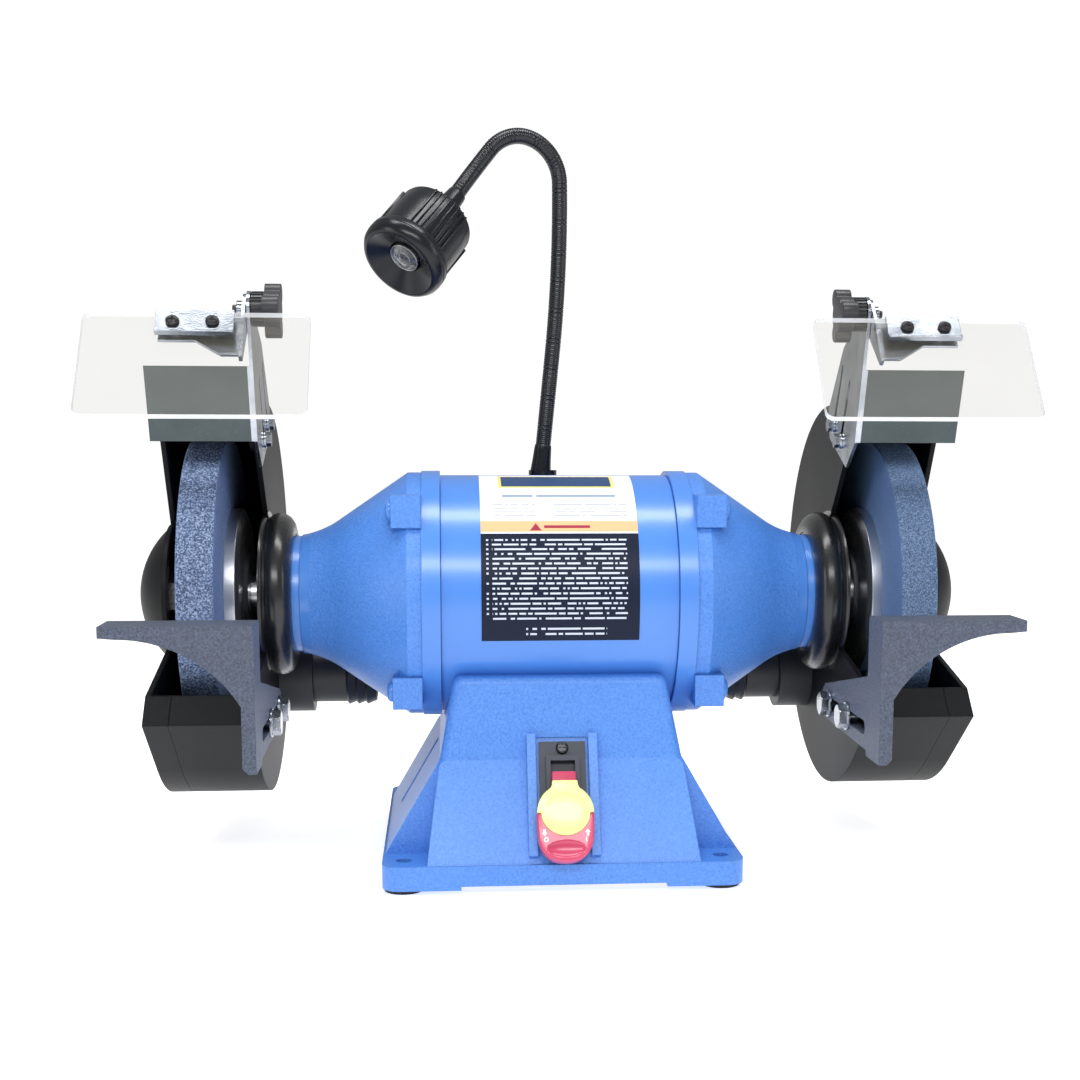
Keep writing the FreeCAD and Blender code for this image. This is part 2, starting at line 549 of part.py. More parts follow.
def make_spindle():
    node(turned("shaft_blank", [
        ("-spindle_x", "0"), ("spindle_x", "0"), ("spindle_x", "arbor_r"), ("arbor_x", "arbor_r"),
        ("arbor_x", "journal_r"), ("seat_in - 3", "journal_r"), ("seat_in - 3", "core_r"),
        ("-seat_in + 3", "core_r"), ("-seat_in + 3", "journal_r"), ("-arbor_x", "journal_r"),
        ("-arbor_x", "arbor_r"), ("-spindle_x", "arbor_r"),
    ]), "spindle_shaft", True)
    wheel = turned("wheel_blank", [
        ("wheel_in", "wheel_bore"), ("wheel_out", "wheel_bore"), ("wheel_out", "wheel_r - 1"),
        ("wheel_out - 1", "wheel_r"), ("wheel_in + 1", "wheel_r"), ("wheel_in", "wheel_r - 1"),
    ])
    node(wheel, "wheel_right", True)
    mirrored(wheel, "wheel_left")
    inner = turned("inner_flange_shape", [
        ("arbor_x", "arbor_r"), ("wheel_in", "arbor_r"), ("wheel_in", "flange_disc_r"),
        ("wheel_in - 8", "flange_disc_r"), ("wheel_in - 11", "flange_disc_r - 7"), ("wheel_in - 11", "34"),
        ("arbor_x", "32"),
    ])
    outer = turned("outer_flange_shape", [
        ("wheel_out", "arbor_r"), ("wheel_out", "flange_disc_r"), ("wheel_out + 6", "flange_disc_r"),
        ("wheel_out + 9", "flange_disc_r - 8"), ("wheel_out + 9", "26"), ("nut_x", "24"), ("nut_x", "arbor_r"),
    ])
    halves = [Placement(BACK, Rotation()), Placement(BACK, Rotation(Z_AXIS, 180))]
    repeated("inner_wheel_flanges", inner.Shape, halves, True)
    repeated("outer_wheel_flanges", outer.Shape, halves, True)
    nut = hexagon(size("nut_flats"), size("nut_len")).cut(Part.makeCylinder(size("arbor_r"), 40))
    spots = [Placement(Vector(side * size("nut_x"), 0, 0), Rotation(Z_AXIS, Vector(side, 0, 0))) for side in (-1, 1)]
    repeated("spindle_nuts", nut, spots, True)


# ---------------------------------------------------------------- guards
def guard_points(brow_alias):
    """Where the guard's outline turns, in the plane across the shaft: the brow over the wheel and the chin below."""
    spots = {}
    for key, alias in (("brow", brow_alias), ("chin", "chin_deg")):
        angle = math.radians(size(alias))
        for suffix, radius in (("", size("guard_r")), ("_in", size("guard_r") - size("guard_wall"))):
            spot = radius * math.cos(angle), size("guard_drop") + radius * math.sin(angle)
            spots[key + suffix] = (f"{spot[0]:.4f}", f"{spot[1]:.4f}")
    return spots


def rim(body, name, start, length, brow_alias):
    """The guard's curved wall between two planes."""
    at = guard_points(brow_alias)
    points = [at["chin"], at["brow"], at["brow_in"], at["chin_in"], ("ridge_y + 5.4", "ridge_z + 1.5"),
              ("lip_y + 4", "lip_z"), ("lip_y", "lip_z"), ("ridge_y", "ridge_z")]
    arcs = {0: ("guard_r", True, True), 2: ("guard_r - guard_wall", False, True)}
    return padded(body, name, "YZ_Plane", points, length, arcs, lift=start)


def cheek_plate(body, name, start, length, ring, brow_alias):
    """The guard's flat side wall: open at the front, and round about the shaft."""
    at = guard_points(brow_alias)
    corner = ring * math.sqrt(0.5)
    points = [at["chin"], at["brow"], ("0", f"{ring:.4f}"), (f"{-corner:.4f}", f"{-corner:.4f}"),
              ("lip_y", "lip_z"), ("ridge_y", "ridge_z")]
    arcs = {0: ("guard_r", True, True), 2: (f"{ring:.4f}", True, False)}
    return padded(body, name, "YZ_Plane", points, length, arcs, lift=start)


def make_guards():
    housing = new_body("housing_blank")
    rim(housing, "housing_rim", "guard_in", "seam - guard_in - 0.1", "brow_deg")
    cheek_plate(housing, "housing_wall", "guard_in", "guard_wall", size("hub_r") - 6, "brow_deg")
    turned("housing_hub", [
        ("hub_x + 12", "hub_r"), ("guard_in + guard_wall", "hub_r - 2"), ("guard_in + guard_wall", "36"),
        ("guard_in - 5", "36"), ("guard_in - 5", "neck_r + 0.3"), ("hub_x", "neck_r + 0.3"), ("hub_x", "hub_r - 10"),
        ("hub_x + 3", "hub_r - 3"),
    ], body=housing)
    opening = rod("outlet_opening", "outlet_r - 3", "40",
                  (size("guard_in") - 20, size("outlet_y"), size("outlet_z")), X_AXIS)
    bore = rod("hub_bore", "36", "40", (size("hub_x"), 0, 0), X_AXIS)
    rest_taps = [rod(f"rest_tap_{key}", "m10", "30", (size("guard_in") - 5, size(key), size("rest_slot_z")), X_AXIS)
                 for key in ("rest_bolt_front", "rest_bolt_back")]
    arm_taps = [rod(f"arm_tap_{k}", "m6", "30", (size("guard_in") - 5, y, z), X_AXIS)
                for k, (y, z) in enumerate(arm_bolt_spots())]
    bosses = [rod(f"arm_boss_{k}", "9", "8", (size("guard_in"), y, z), X_AXIS) for k, (y, z) in
              enumerate(arm_bolt_spots())]
    bosses += [rod(f"rest_boss_{key}", "12", "9", (size("guard_in"), size(key), size("rest_slot_z")), X_AXIS)
               for key in ("rest_bolt_front", "rest_bolt_back")]
    posts = [rod(f"cover_post_{k}", "7", "seam - guard_in + 14.9", (size("guard_in"), y, z), X_AXIS)
             for k, (y, z) in enumerate(cover_screw_spots())]
    post_taps = [rod(f"cover_tap_{k}", "m6", "20", (size("guard_out") - 20, y, z), X_AXIS)
                 for k, (y, z) in enumerate(cover_screw_spots())]
    whole = joined("housing_with_bosses", housing, *bosses, *posts)
    drilled = without("housing_drilled", whole, opening, bore, *rest_taps, *arm_taps, *post_taps)
    node(drilled, "guard_housing_right", True)
    mirrored(drilled, "guard_housing_left")

    cover = new_body("cover_blank")
    rim(cover, "cover_rim", "seam + 0.1", "guard_out - seam - 0.1", "cover_brow_deg")
    cheek_plate(cover, "cover_wall", "guard_out - guard_wall", "guard_wall", size("dome_r") + 2,
                "cover_brow_deg")
    rise, edge = size("dome_rise"), size("dome_r")
    sphere = (edge ** 2 + rise ** 2) / (2 * rise)
    inner_edge = edge - 5
    turned("cover_dome", [
        ("guard_out", "dome_r"), ("guard_out + dome_rise", "0"), ("guard_out + dome_rise - guard_wall", "0"),
        ("guard_out - guard_wall", f"{inner_edge:.4f}"), ("guard_out - guard_wall", "dome_r + 1"),
        ("guard_out", "dome_r + 1"),
    ], {0: (f"{sphere:.4f}", False, False)}, body=cover)
    holes = [rod(f"cover_hole_{k}", "m6 + 0.1", "30", (size("guard_out") - 20, y, z), X_AXIS)
             for k, (y, z) in enumerate(cover_screw_spots())]
    nut_room = rod("dome_room", "dome_r - 10", "guard_wall + 1", (size("guard_out") - size("guard_wall") - 0.5, 0, 0),
                   X_AXIS)
    open_cover = without("cover_drilled", cover, nut_room, *holes)
    node(open_cover, "guard_cover_right", True)
    mirrored(open_cover, "guard_cover_left")


def cover_screw_spots():
    radius = size("guard_r") - 12
    return [(radius * math.cos(math.radians(a)), size("guard_drop") + radius * math.sin(math.radians(a)))
            for a in (95, 0, 270)]


def make_guard_screws():
    screw = pan_screw(size("m6"), 18)
    spots = []
    for side in (-1, 1):
        for y, z in cover_screw_spots():
            spots.append(Placement(Vector(side * (size("guard_out") - 18 + 0.02), y, z),
                                   Rotation(Z_AXIS, Vector(side, 0, 0))))
    repeated("guard_screws", screw, spots, True)


def make_dust_outlets():
    tube = turned("outlet_tube", [
        ("guard_in", "outlet_r - 3"), ("guard_in", "outlet_collar"), ("guard_in - 28", "outlet_collar"),
        ("guard_in - 28", "outlet_r"), ("outlet_end + 26", "outlet_r"), ("outlet_end + 24", "outlet_r + 2.4"),
        ("outlet_end + 18", "outlet_r"), ("outlet_end + 16", "outlet_r + 2.4"), ("outlet_end + 10", "outlet_r"),
        ("outlet_end + 8", "outlet_r + 2.4"), ("outlet_end", "outlet_r - 0.8"), ("outlet_end", "outlet_r - 3"),
    ])
    place(tube, (0, size("outlet_y"), size("outlet_z")))
    node(tube, "dust_outlet_right", True)
    mirrored(tube, "dust_outlet_left")


# ---------------------------------------------------------------- tool rests
def make_rests():
    rest = new_body("rest_blank")
    wall = "guard_in - 0.3"
    padded(rest, "rest_table", "XZ_Plane", [
        ("rest_in", "rest_low"), ("guard_in - 4.3", "rest_low"), (wall, "rest_low + 4"), (wall, "rest_top - 57"),
        ("316", "rest_top - 9"), ("rest_out", "rest_top - rest_tip"), ("rest_out", "rest_top"),
        ("rest_in", "rest_top"),
    ], "rest_depth", {3: ("rest_round", False, False)}, lift="-rest_front - rest_depth")
    padded(rest, "rest_flange", "YZ_Plane", [
        ("rest_front + 20", "rest_low + 4"), ("-40", "rest_low + 6"), ("-34", "rest_slot_z - 8"),
        ("-34", "rest_slot_z + 6"), ("-44", "rest_slot_z + 14"), ("rest_front + rest_depth", "rest_slot_z + 40"),
        ("rest_front + 20", "rest_slot_z + 40"),
    ], "guard_in - 0.3 - rest_in", lift="rest_in")
    near, far = "rest_bolt_front - rest_travel_in", "rest_bolt_back + rest_travel_out"
    low, high = "rest_slot_z - m10 - 0.3", "rest_slot_z + m10 + 0.3"
    half_round = ("m10 + 0.3", True, False)
    slot = padded(rest, "rest_slot", "YZ_Plane", [(near, low), (far, low), (far, high), (near, high)], "30",
                  {1: half_round, 3: half_round}, lift="rest_in - 5", cut=True)
    rest.Tip = slot
    doc.recompute()
    node(rest, "tool_rest_right", True)
    mirrored(rest, "tool_rest_left")
    grip = size("guard_in") - size("rest_in") + 8.3
    bolt = hex_bolt(size("m10"), grip, 17, 11)
    spots = []
    for side in (-1, 1):
        for alias in ("rest_bolt_front", "rest_bolt_back"):
            start = Vector(side * (size("guard_in") + 8), size(alias), size("rest_slot_z"))
            spots.append(Placement(start, Rotation(Z_AXIS, Vector(-side, 0, 0))))
    repeated("tool_rest_bolts", bolt, spots, True)


# ---------------------------------------------------------------- eye shields
def arm_bolt_spots():
    return [(size("arm_bolt_y"), size("arm_bolt_z")), (size("arm_bolt_back_y"), size("arm_bolt_back_z"))]


def make_arms():
    arm = new_body("arm_blank")
    lean = math.radians(size("lean_deg"))
    head = f"arm_foot_y - {size('arm_rise') * math.sin(lean):.4f}", f"arm_foot_z + {size('arm_rise') * math.cos(lean):.4f}"
    padded(arm, "arm_side", "YZ_Plane", [
        ("-65", "105"), ("arm_foot_y", "arm_foot_z"), head, ("pivot_y - 13", "pivot_z"),
        ("pivot_y + 13", "pivot_z"), ("-48", "199"), ("-2", "151"), ("-8", "128"),
    ], "arm_sheet", {3: ("13", False, False)}, lift="arm_in")
    padded(arm, "arm_front", "YZ_Plane", [
        ("arm_foot_y", "arm_foot_z"), ("arm_foot_y + 2.6", "arm_foot_z"), (head[0] + " + 2.6", head[1]), head,
    ], "arm_out - arm_in", lift="arm_in")
    tools = [rod("arm_pivot_hole", "m6 + 0.06", "20", (size("arm_in") - 5, size("pivot_y"), size("pivot_z")), X_AXIS)]
    for number, (y, z) in enumerate(arm_bolt_spots()):
        slot = Part.makeBox(20, 2 * size("m6") + 0.6, size("slot_long"), Vector(-10, -size("m6") - 0.3, 0))
        slot = slot.fuse([Part.makeCylinder(size("m6") + 0.3, 20, Vector(-10, 0, end), X_AXIS)
                          for end in (0, size("slot_long"))])
        cutter = shaped(f"arm_slot_{number}", slot)
        cutter.Placement = Placement(Vector(size("arm_in"), y, z), Rotation(X_AXIS, size("slot_lean")))
        tools.append(cutter)
    drilled = without("shield_arm_drilled", arm, *tools)
    node(drilled, "shield_arm_right", True)
    mirrored(drilled, "shield_arm_left")
    grip = size("guard_in") + 8 - size("arm_in") + 0.1
    bolt = hex_bolt(size("m6"), grip, 10, 7)
    spots = []
    for side in (-1, 1):
        for y, z in arm_bolt_spots():
            spots.append(Placement(Vector(side * (size("guard_in") + 8), y, z), Rotation(Z_AXIS, Vector(-side, 0, 0))))
    repeated("arm_bolts", bolt, spots, True)


def shield_frame():
    """Local Z runs up the plate and local Y to its back; the origin is the pivot."""
    return Placement(Vector(0, size("pivot_y"), size("pivot_z")), Rotation(X_AXIS, -size("shield_tilt")))


def in_frame(shape, label):
    """A right-hand piece of the shield, drawn in the shield's frame, and its left-hand copy."""
    piece = shaped(label, shape)
    piece.Placement = shield_frame()
    node(piece, label, True)
    mirrored(piece, label.replace("right", "left"))


def make_shields():
    top, face = size("shield_top"), size("shield_face")
    back = face + size("shield_thick") + 0.3
    wide = size("shield_out") - size("shield_in")
    plate = Part.makeBox(wide, size("shield_thick"), size("shield_long"),
                         Vector(size("shield_in"), face, top - size("shield_long")))
    corners = [edge for edge in plate.Edges if edge.BoundBox.YLength > size("shield_thick") - 0.1]
    plate = plate.makeFillet(6, corners)
    hole_x = (253, 281)
    hole_z = top - size("strip_wide") / 2
    holes = [Part.makeCylinder(size("m5") + 0.1, 60, Vector(x, -40, hole_z), Y_AXIS) for x in hole_x]
    in_frame(plate.cut(holes), "eye_shield_right")
    strip_in, strip_out, sheet_gap = size("strip_in"), size("strip_out"), 0.3
    strip = Part.makeBox(strip_out - strip_in, 2.4, size("strip_wide"),
                         Vector(strip_in, face - sheet_gap - 2.4, top - size("strip_wide")))
    fold = Part.makeBox(strip_out - strip_in, 2.2, 2.6,
                        Vector(strip_in, face - sheet_gap - 4.6, top - size("strip_wide")))
    in_frame(strip.fuse(fold).cut(holes).removeSplitter(), "clamp_strip_right")
    ear_r, ear_in, ear_sheet = 11, size("ear_in"), 2.5
    leaf_in, leaf_low = ear_in + ear_sheet, top - 33.5
    leaf_points = [(leaf_in, top), (strip_out - 1, top), (strip_out - 1, top - 21), (265.5, top - 21),
                   (247, leaf_low), (leaf_in, leaf_low)]
    leaf = Part.Face(Part.makePolygon([Vector(x, back, z) for x, z in leaf_points + leaf_points[:1]]))
    leaf = leaf.extrude(Vector(0, ear_sheet, 0)).cut(holes)
    ear_points = [(0, ear_r), (-ear_r, 0), (back, top + 3.5), (back, leaf_low - 1.5), (back + 5.7, leaf_low - 1.5),
                  (ear_r, -3), (ear_r, 0)]
    ear = Part.Face(Part.makePolygon([Vector(ear_in, y, z) for y, z in ear_points + ear_points[:1]]))
    ear = ear.extrude(Vector(ear_sheet, 0, 0)).fuse(Part.makeCylinder(ear_r, ear_sheet, Vector(ear_in, 0, 0), X_AXIS))
    weld_nut = Part.makeCylinder(6, 5, Vector(leaf_in, 0, 0), X_AXIS)
    bore = Part.makeCylinder(size("m6") + 0.06, 40, Vector(ear_in - 10, 0, 0), X_AXIS)
    in_frame(leaf.fuse([ear, weld_nut]).cut(bore).removeSplitter(), "shield_bracket_right")
    reach = 12
    screw = pan_screw(size("m5"), reach)
    turn = Rotation(Z_AXIS, Vector(0, -1, 0))
    seat = face - sheet_gap - 2.4 + reach - 0.02
    screws = [screw.transformed(Placement(Vector(x, seat, hole_z), turn).toMatrix(), True) for x in hole_x]
    in_frame(Part.makeCompound(screws), "shield_screws_right")
    outer_r, start = size("knob_r"), size("arm_in") - 0.3
    hub = Part.makeCylinder(12, 9, Vector(start, 0, 0), Vector(-1, 0, 0))
    star = Part.makeCylinder(13, 12, Vector(start - 9, 0, 0), Vector(-1, 0, 0))
    for step in range(3):
        angle = math.radians(90 + 120 * step)
        lobe = Part.makeCylinder(7, 12, Vector(start - 9, (outer_r - 7) * math.cos(angle),
                                               (outer_r - 7) * math.sin(angle)), Vector(-1, 0, 0))
        web = Part.makeBox(12, outer_r - 7, 13, Vector(start - 21, 0, -6.5))
        web.rotate(BACK, X_AXIS, math.degrees(angle))
        star = star.fuse([lobe, web])
    stud = Part.makeCylinder(size("m6"), 20, Vector(start - 6, 0, 0), X_AXIS)
    in_frame(hub.fuse([star, stud]).removeSplitter(), "shield_knob_right")


# ---------------------------------------------------------------- lamp
# the hose's line, about the shaft line: the two joints, the bend between them and the lamp head's joint
LOWER, UPPER_STEM, CROOK = Vector(3.1, 60, 196), Vector(9.2, 57, 337.8), Vector(-18.7, 45, 373.1)
SHOULDER, HEAD = Vector(-48.9, 38.9, 361.8), Vector(-92, 10, 304)
HEAD_WAY = Vector(-0.50, -0.56, -0.66).normalize()


def tangent_arc(start, way, end):
    """The arc that leaves a point along a direction and ends at another, and the direction that it ends in."""
    chord = end - start
    unit = Vector(chord).normalize()
    lean = way - unit * way.dot(unit)
    if lean.Length < 1e-3:
        return Part.LineSegment(start, end).toShape(), unit
    half_turn = way.getAngle(unit) / 2
    middle = (start + end) / 2 + lean.normalize() * (chord.Length / 2 * math.tan(half_turn))
    return Part.Arc(start, middle, end).toShape(), unit * (2 * way.dot(unit)) - way


def hose(radius, start, way, *ends):
    """A round hose of tangent arcs through the ends, and the direction that it ends in."""
    section = Part.Wire(Part.Circle(start, way, radius).toShape())
    edges = []
    for end in ends:
        edge, following = tangent_arc(start, way, end)
        edges.append(edge)
        start, way = end, following
    return Part.Wire(edges).makePipeShell([section], True, False), way


def make_lamp():
    radius, gap = size("hose_r"), 0.3
    root = Vector(size("lamp_x"), size("lamp_y"), size("stem_z"))
    boss_top = size("lamp_boss")
    boss = Part.makeCylinder(12, boss_top - size("lamp_seat") - gap, Vector(root.x, root.y, size("lamp_seat")))
    boss = boss.cut(Part.makeCylinder(size("shell_r") + 0.05, 300, Vector(-150, 0, 0), X_AXIS))
    spigot = Part.makeCylinder(5.9, 20, Vector(root.x, root.y, 62)).cut(
        Part.makeCylinder(size("shell_r") - size("shell_wall") + gap, 300, Vector(-150, 0, 0), X_AXIS))
    core = Part.makeCylinder(4, 10, Vector(root.x, root.y, boss_top - 4))
    node(shaped("lamp_socket", boss.fuse([spigot, core]).removeSplitter()), "lamp_socket", True)

    cone = Part.makeCone(11, radius + 0.9, root.z - boss_top, Vector(root.x, root.y, boss_top))
    cone = cone.cut(Part.makeCylinder(4.1, 6.5, Vector(root.x, root.y, boss_top)))
    stem, way = hose(radius, root - Z_AXIS * 3, Vector(0.1, -0.03, 1).normalize(), LOWER)
    low_hose = cone.fuse([stem, Part.makeSphere(radius, LOWER)])
    node(shaped("lamp_neck_lower", low_hose.removeSplitter()), "lamp_neck_lower", True)

    run, way = hose(radius, LOWER, way, UPPER_STEM, CROOK)
    middle = run.fuse(Part.makeSphere(radius, CROOK)).cut(Part.makeSphere(radius + gap, LOWER))
    node(shaped("lamp_neck_middle", middle.removeSplitter()), "lamp_neck_middle", True)

    boot_start = HEAD - HEAD_WAY * 26
    run, way = hose(radius, CROOK, way, SHOULDER, boot_start)
    boot = Part.makeCone(7.2, 10.6, 26, boot_start, HEAD_WAY)
    upper = run.cut(Part.makeSphere(radius + gap, CROOK)).fuse([boot, Part.makeSphere(11, HEAD)])
    node(shaped("lamp_neck_upper", upper.removeSplitter()), "lamp_neck_upper", True)

    face = HEAD + HEAD_WAY * 2.5
    case = Part.makeCylinder(size("head_r"), size("head_long"), face, HEAD_WAY)
    case = case.cut([Part.makeSphere(11.3, HEAD),
                     Part.makeCylinder(size("head_r") - 4, size("head_long"), face + HEAD_WAY * 14, HEAD_WAY)])
    node(shaped("lamp_head", case), "lamp_head", True)
    front = face + HEAD_WAY * (size("head_long") + 0.05)
    bowl = Part.makeCone(size("lens_r") + 2, size("bezel_r") - 6, size("bezel_long") - 4, front + HEAD_WAY * 4.02, HEAD_WAY)
    bore = Part.makeCylinder(size("lens_r") + 0.1, 20, front - HEAD_WAY * 5, HEAD_WAY)
    ring = Part.makeCylinder(size("bezel_r"), size("bezel_long"), front, HEAD_WAY).cut([bowl, bore])
    node(shaped("lamp_bezel", ring), "lamp_bezel", True)
    lens = Part.makeCylinder(size("lens_r"), 5, front, HEAD_WAY)
    bulge = Part.makeSphere(size("lens_r"), front + HEAD_WAY * 1.5).common(
        Part.makeCylinder(size("lens_r") - 1.5, 20, front, HEAD_WAY))
    node(shaped("lamp_lens", lens.fuse(bulge).removeSplitter()), "lamp_lens", True)


def make_label():
    outer, inner = size("shell_r") + 0.45, size("shell_r") + 0.05
    half = 61.5
    low, high = math.radians(180 + 17), math.radians(180 - 84)
    wedge_r = 200
    corners = [Vector(-half, 0, 0)] + [Vector(-half, wedge_r * math.cos(a), wedge_r * math.sin(a)) for a in
                                       (low, (low + high) / 2, high)]
    sector = Part.Face(Part.makePolygon(corners + corners[:1])).extrude(Vector(2 * half, 0, 0))
    sleeve = Part.makeCylinder(outer, 2 * half, Vector(-half, 0, 0), X_AXIS).cut(
        Part.makeCylinder(inner, 2 * half, Vector(-half, 0, 0), X_AXIS))
    node(shaped("rating_label", sleeve.common(sector)), "rating_label", True)


# ---------------------------------------------------------------- build and write
make_base()
make_base_trim()
make_switch()
make_motor()
make_end_bells()
make_bearings()
make_spindle()
make_guards()
make_guard_screws()
make_dust_outlets()
make_rests()
make_arms()
make_shields()
make_lamp()
make_label()
doc.recompute()

for item in doc.Objects:
    if "Invalid" in item.State or "Error" in item.State:
        raise RuntimeError(f"{item.Name} ({item.Label}) failed: {item.State}")
for item in NODES:
    if item.Shape.isNull() or not item.Shape.isValid() or not item.Shape.Solids:
        raise RuntimeError(f"{item.Label} has no valid solid")

os.makedirs("parts", exist_ok=True)
for item in NODES:
    item.Shape.exportStep(f"parts/{item.Label}.step")
    bounds = item.Shape.BoundBox
    print(f"{item.Label:24s} solids {len(item.Shape.Solids):2d}  volume {item.Shape.Volume / 1000:9.2f} cm3  "
          f"x {bounds.XMin:.1f}..{bounds.XMax:.1f}  y {bounds.YMin:.1f}..{bounds.YMax:.1f}  "
          f"z {bounds.ZMin:.1f}..{bounds.ZMax:.1f}")
print(len(NODES), "nodes")
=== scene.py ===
# %% [markdown]
# # A bench grinder, one cell at a time
#
# The machine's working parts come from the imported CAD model, already in their places and in metres:
# the shaft runs along X, the front faces -Y and the feet stand on Z = 0.
# These cells light it, give every part its own finish, and make the parts whose real shape is softer
# or finer than the CAD solid: the lamp and its ribbed hose, the switch paddle and the knobs.

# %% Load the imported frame
import math

import bmesh
import bpy
from mathutils import Matrix, Vector, geometry


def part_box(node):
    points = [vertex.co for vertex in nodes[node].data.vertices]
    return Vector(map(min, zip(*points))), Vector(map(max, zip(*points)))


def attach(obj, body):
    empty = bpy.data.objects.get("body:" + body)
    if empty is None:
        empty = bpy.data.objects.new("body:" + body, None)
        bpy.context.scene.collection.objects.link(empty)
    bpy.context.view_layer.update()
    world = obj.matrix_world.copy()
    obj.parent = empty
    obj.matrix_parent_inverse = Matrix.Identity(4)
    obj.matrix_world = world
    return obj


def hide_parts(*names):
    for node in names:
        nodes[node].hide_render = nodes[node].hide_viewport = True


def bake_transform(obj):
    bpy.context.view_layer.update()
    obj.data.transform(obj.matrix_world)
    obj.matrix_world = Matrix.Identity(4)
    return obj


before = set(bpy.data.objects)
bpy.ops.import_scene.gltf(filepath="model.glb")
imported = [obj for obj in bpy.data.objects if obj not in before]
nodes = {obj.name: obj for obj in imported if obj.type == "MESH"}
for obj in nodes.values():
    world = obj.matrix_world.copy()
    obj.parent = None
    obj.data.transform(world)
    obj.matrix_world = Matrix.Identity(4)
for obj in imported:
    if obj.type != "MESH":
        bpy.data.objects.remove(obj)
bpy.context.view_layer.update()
SHAFT_Z = sum(corner[2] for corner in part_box("spindle_shaft")) / 2
print(len(nodes), "nodes, shaft line at", round(SHAFT_Z, 4))

# %% [markdown]
# ## The camera
#
# A machine like this is shown from the front, a little from above and from a little to its left.
# A lens can be turned towards the subject or slid sideways in front of it.
# Most of the aim here is the camera's own turn, and a small slide keeps the uprights straight.

# %% The camera
def set_camera(place, right, up, forward, lens, slide):
    data = bpy.data.cameras.new("studio_camera")
    data.sensor_width = 36
    data.lens = lens
    data.shift_x, data.shift_y = slide
    data.clip_start = 0.05
    camera = bpy.data.objects.new("studio_camera", data)
    bpy.context.scene.collection.objects.link(camera)
    columns = (Vector(right), Vector(up), -Vector(forward))
    camera.matrix_world = Matrix.Translation(place) @ Matrix(columns).transposed().to_4x4()
    bpy.context.scene.camera = camera
    return camera


LENS_MM = 54.003
camera = set_camera(
    place=(-0.08811, -1.3424, 0.34959),
    right=(0.99647, -0.08392, 0.00287),
    up=(0.00937, 0.14506, 0.98938),
    forward=(0.08344, 0.98586, -0.14534),
    lens=LENS_MM,
    slide=(-0.04, 0.12),
)
print("camera lens", camera.data.lens)

# %% [markdown]
# ## Soft light
#
# Blue enamel shows a long pale line where a soft box mirrors in it.
# Two wide boxes, one overhead and one in front, draw the two lines that run across the motor,
# a box at each side opens the dark guards, and a bright even room fills the rest.

# %% The light
def soft_box(name, place, aim, width, height, watts):
    light = bpy.data.lights.new(name, "AREA")
    light.shape = "RECTANGLE"
    light.size, light.size_y = width, height
    light.energy = watts
    box = bpy.data.objects.new(name, light)
    bpy.context.scene.collection.objects.link(box)
    box.location = place
    box.rotation_euler = (Vector(aim) - Vector(place)).to_track_quat("-Z", "Y").to_euler()
    return box


soft_box("overhead_box", (0.0, -0.2, 1.9), (0, 0, 0.2), 1.8, 0.35, 26)
soft_box("front_box", (-0.2, -1.9, 1.4), (0, 0, 0.2), 1.6, 0.35, 24)
soft_box("left_box", (-2.0, -0.9, 0.7), (0, 0, 0.2), 0.6, 1.2, 9)
soft_box("right_box", (2.0, -0.7, 0.9), (0, 0, 0.2), 0.6, 1.2, 9)

world = bpy.data.worlds.new("studio_air")
bpy.context.scene.world = world
world.use_nodes = True
air = world.node_tree.nodes["Background"]
air.inputs["Color"].default_value = (1, 1, 1, 1)
seen = world.node_tree.nodes.new("ShaderNodeLightPath")
strength = world.node_tree.nodes.new("ShaderNodeMath")
strength.operation = "MULTIPLY_ADD"
world.node_tree.links.new(seen.outputs["Is Camera Ray"], strength.inputs[0])
# how brightly the room lights the machine, and how bright the backdrop itself looks
ROOM, BACKDROP = 0.42, 1.05
strength.inputs[1].default_value = BACKDROP - ROOM
strength.inputs[2].default_value = ROOM
world.node_tree.links.new(strength.outputs[0], air.inputs["Strength"])
bpy.context.scene.view_settings.view_transform = "Standard"
print("four soft boxes and a bright room")

# %% [markdown]
# ## Writing nodes as sums
#
# A finish is a little calculation: how far is this spot from the shaft, is it on a cast face?
# Node by node that is hard to read, so one small class wraps an output socket and lets
# plus, minus, times and the comparisons add the Math nodes.
# The same wrapper serves both kinds of tree, shaders and Geometry Nodes.

# %% A value that varies over a surface
class Value:
    """One output socket that can be used in a sum."""

    def __init__(self, tree, socket):
        self.tree = tree
        self.socket = socket

    def __add__(self, other):
        return self.tree.maths("ADD", self, other)

    def __sub__(self, other):
        return self.tree.maths("SUBTRACT", self, other)

    def __rsub__(self, other):
        return self.tree.maths("SUBTRACT", other, self)

    def __mul__(self, other):
        return self.tree.maths("MULTIPLY", self, other)

    def __truediv__(self, other):
        return self.tree.maths("DIVIDE", self, other)

    def __gt__(self, other):
        return self.tree.maths("GREATER_THAN", self, other)

    def __lt__(self, other):
        return self.tree.maths("LESS_THAN", self, other)

    def __abs__(self):
        return self.tree.maths("ABSOLUTE", self)

    __radd__ = __add__
    __rmul__ = __mul__


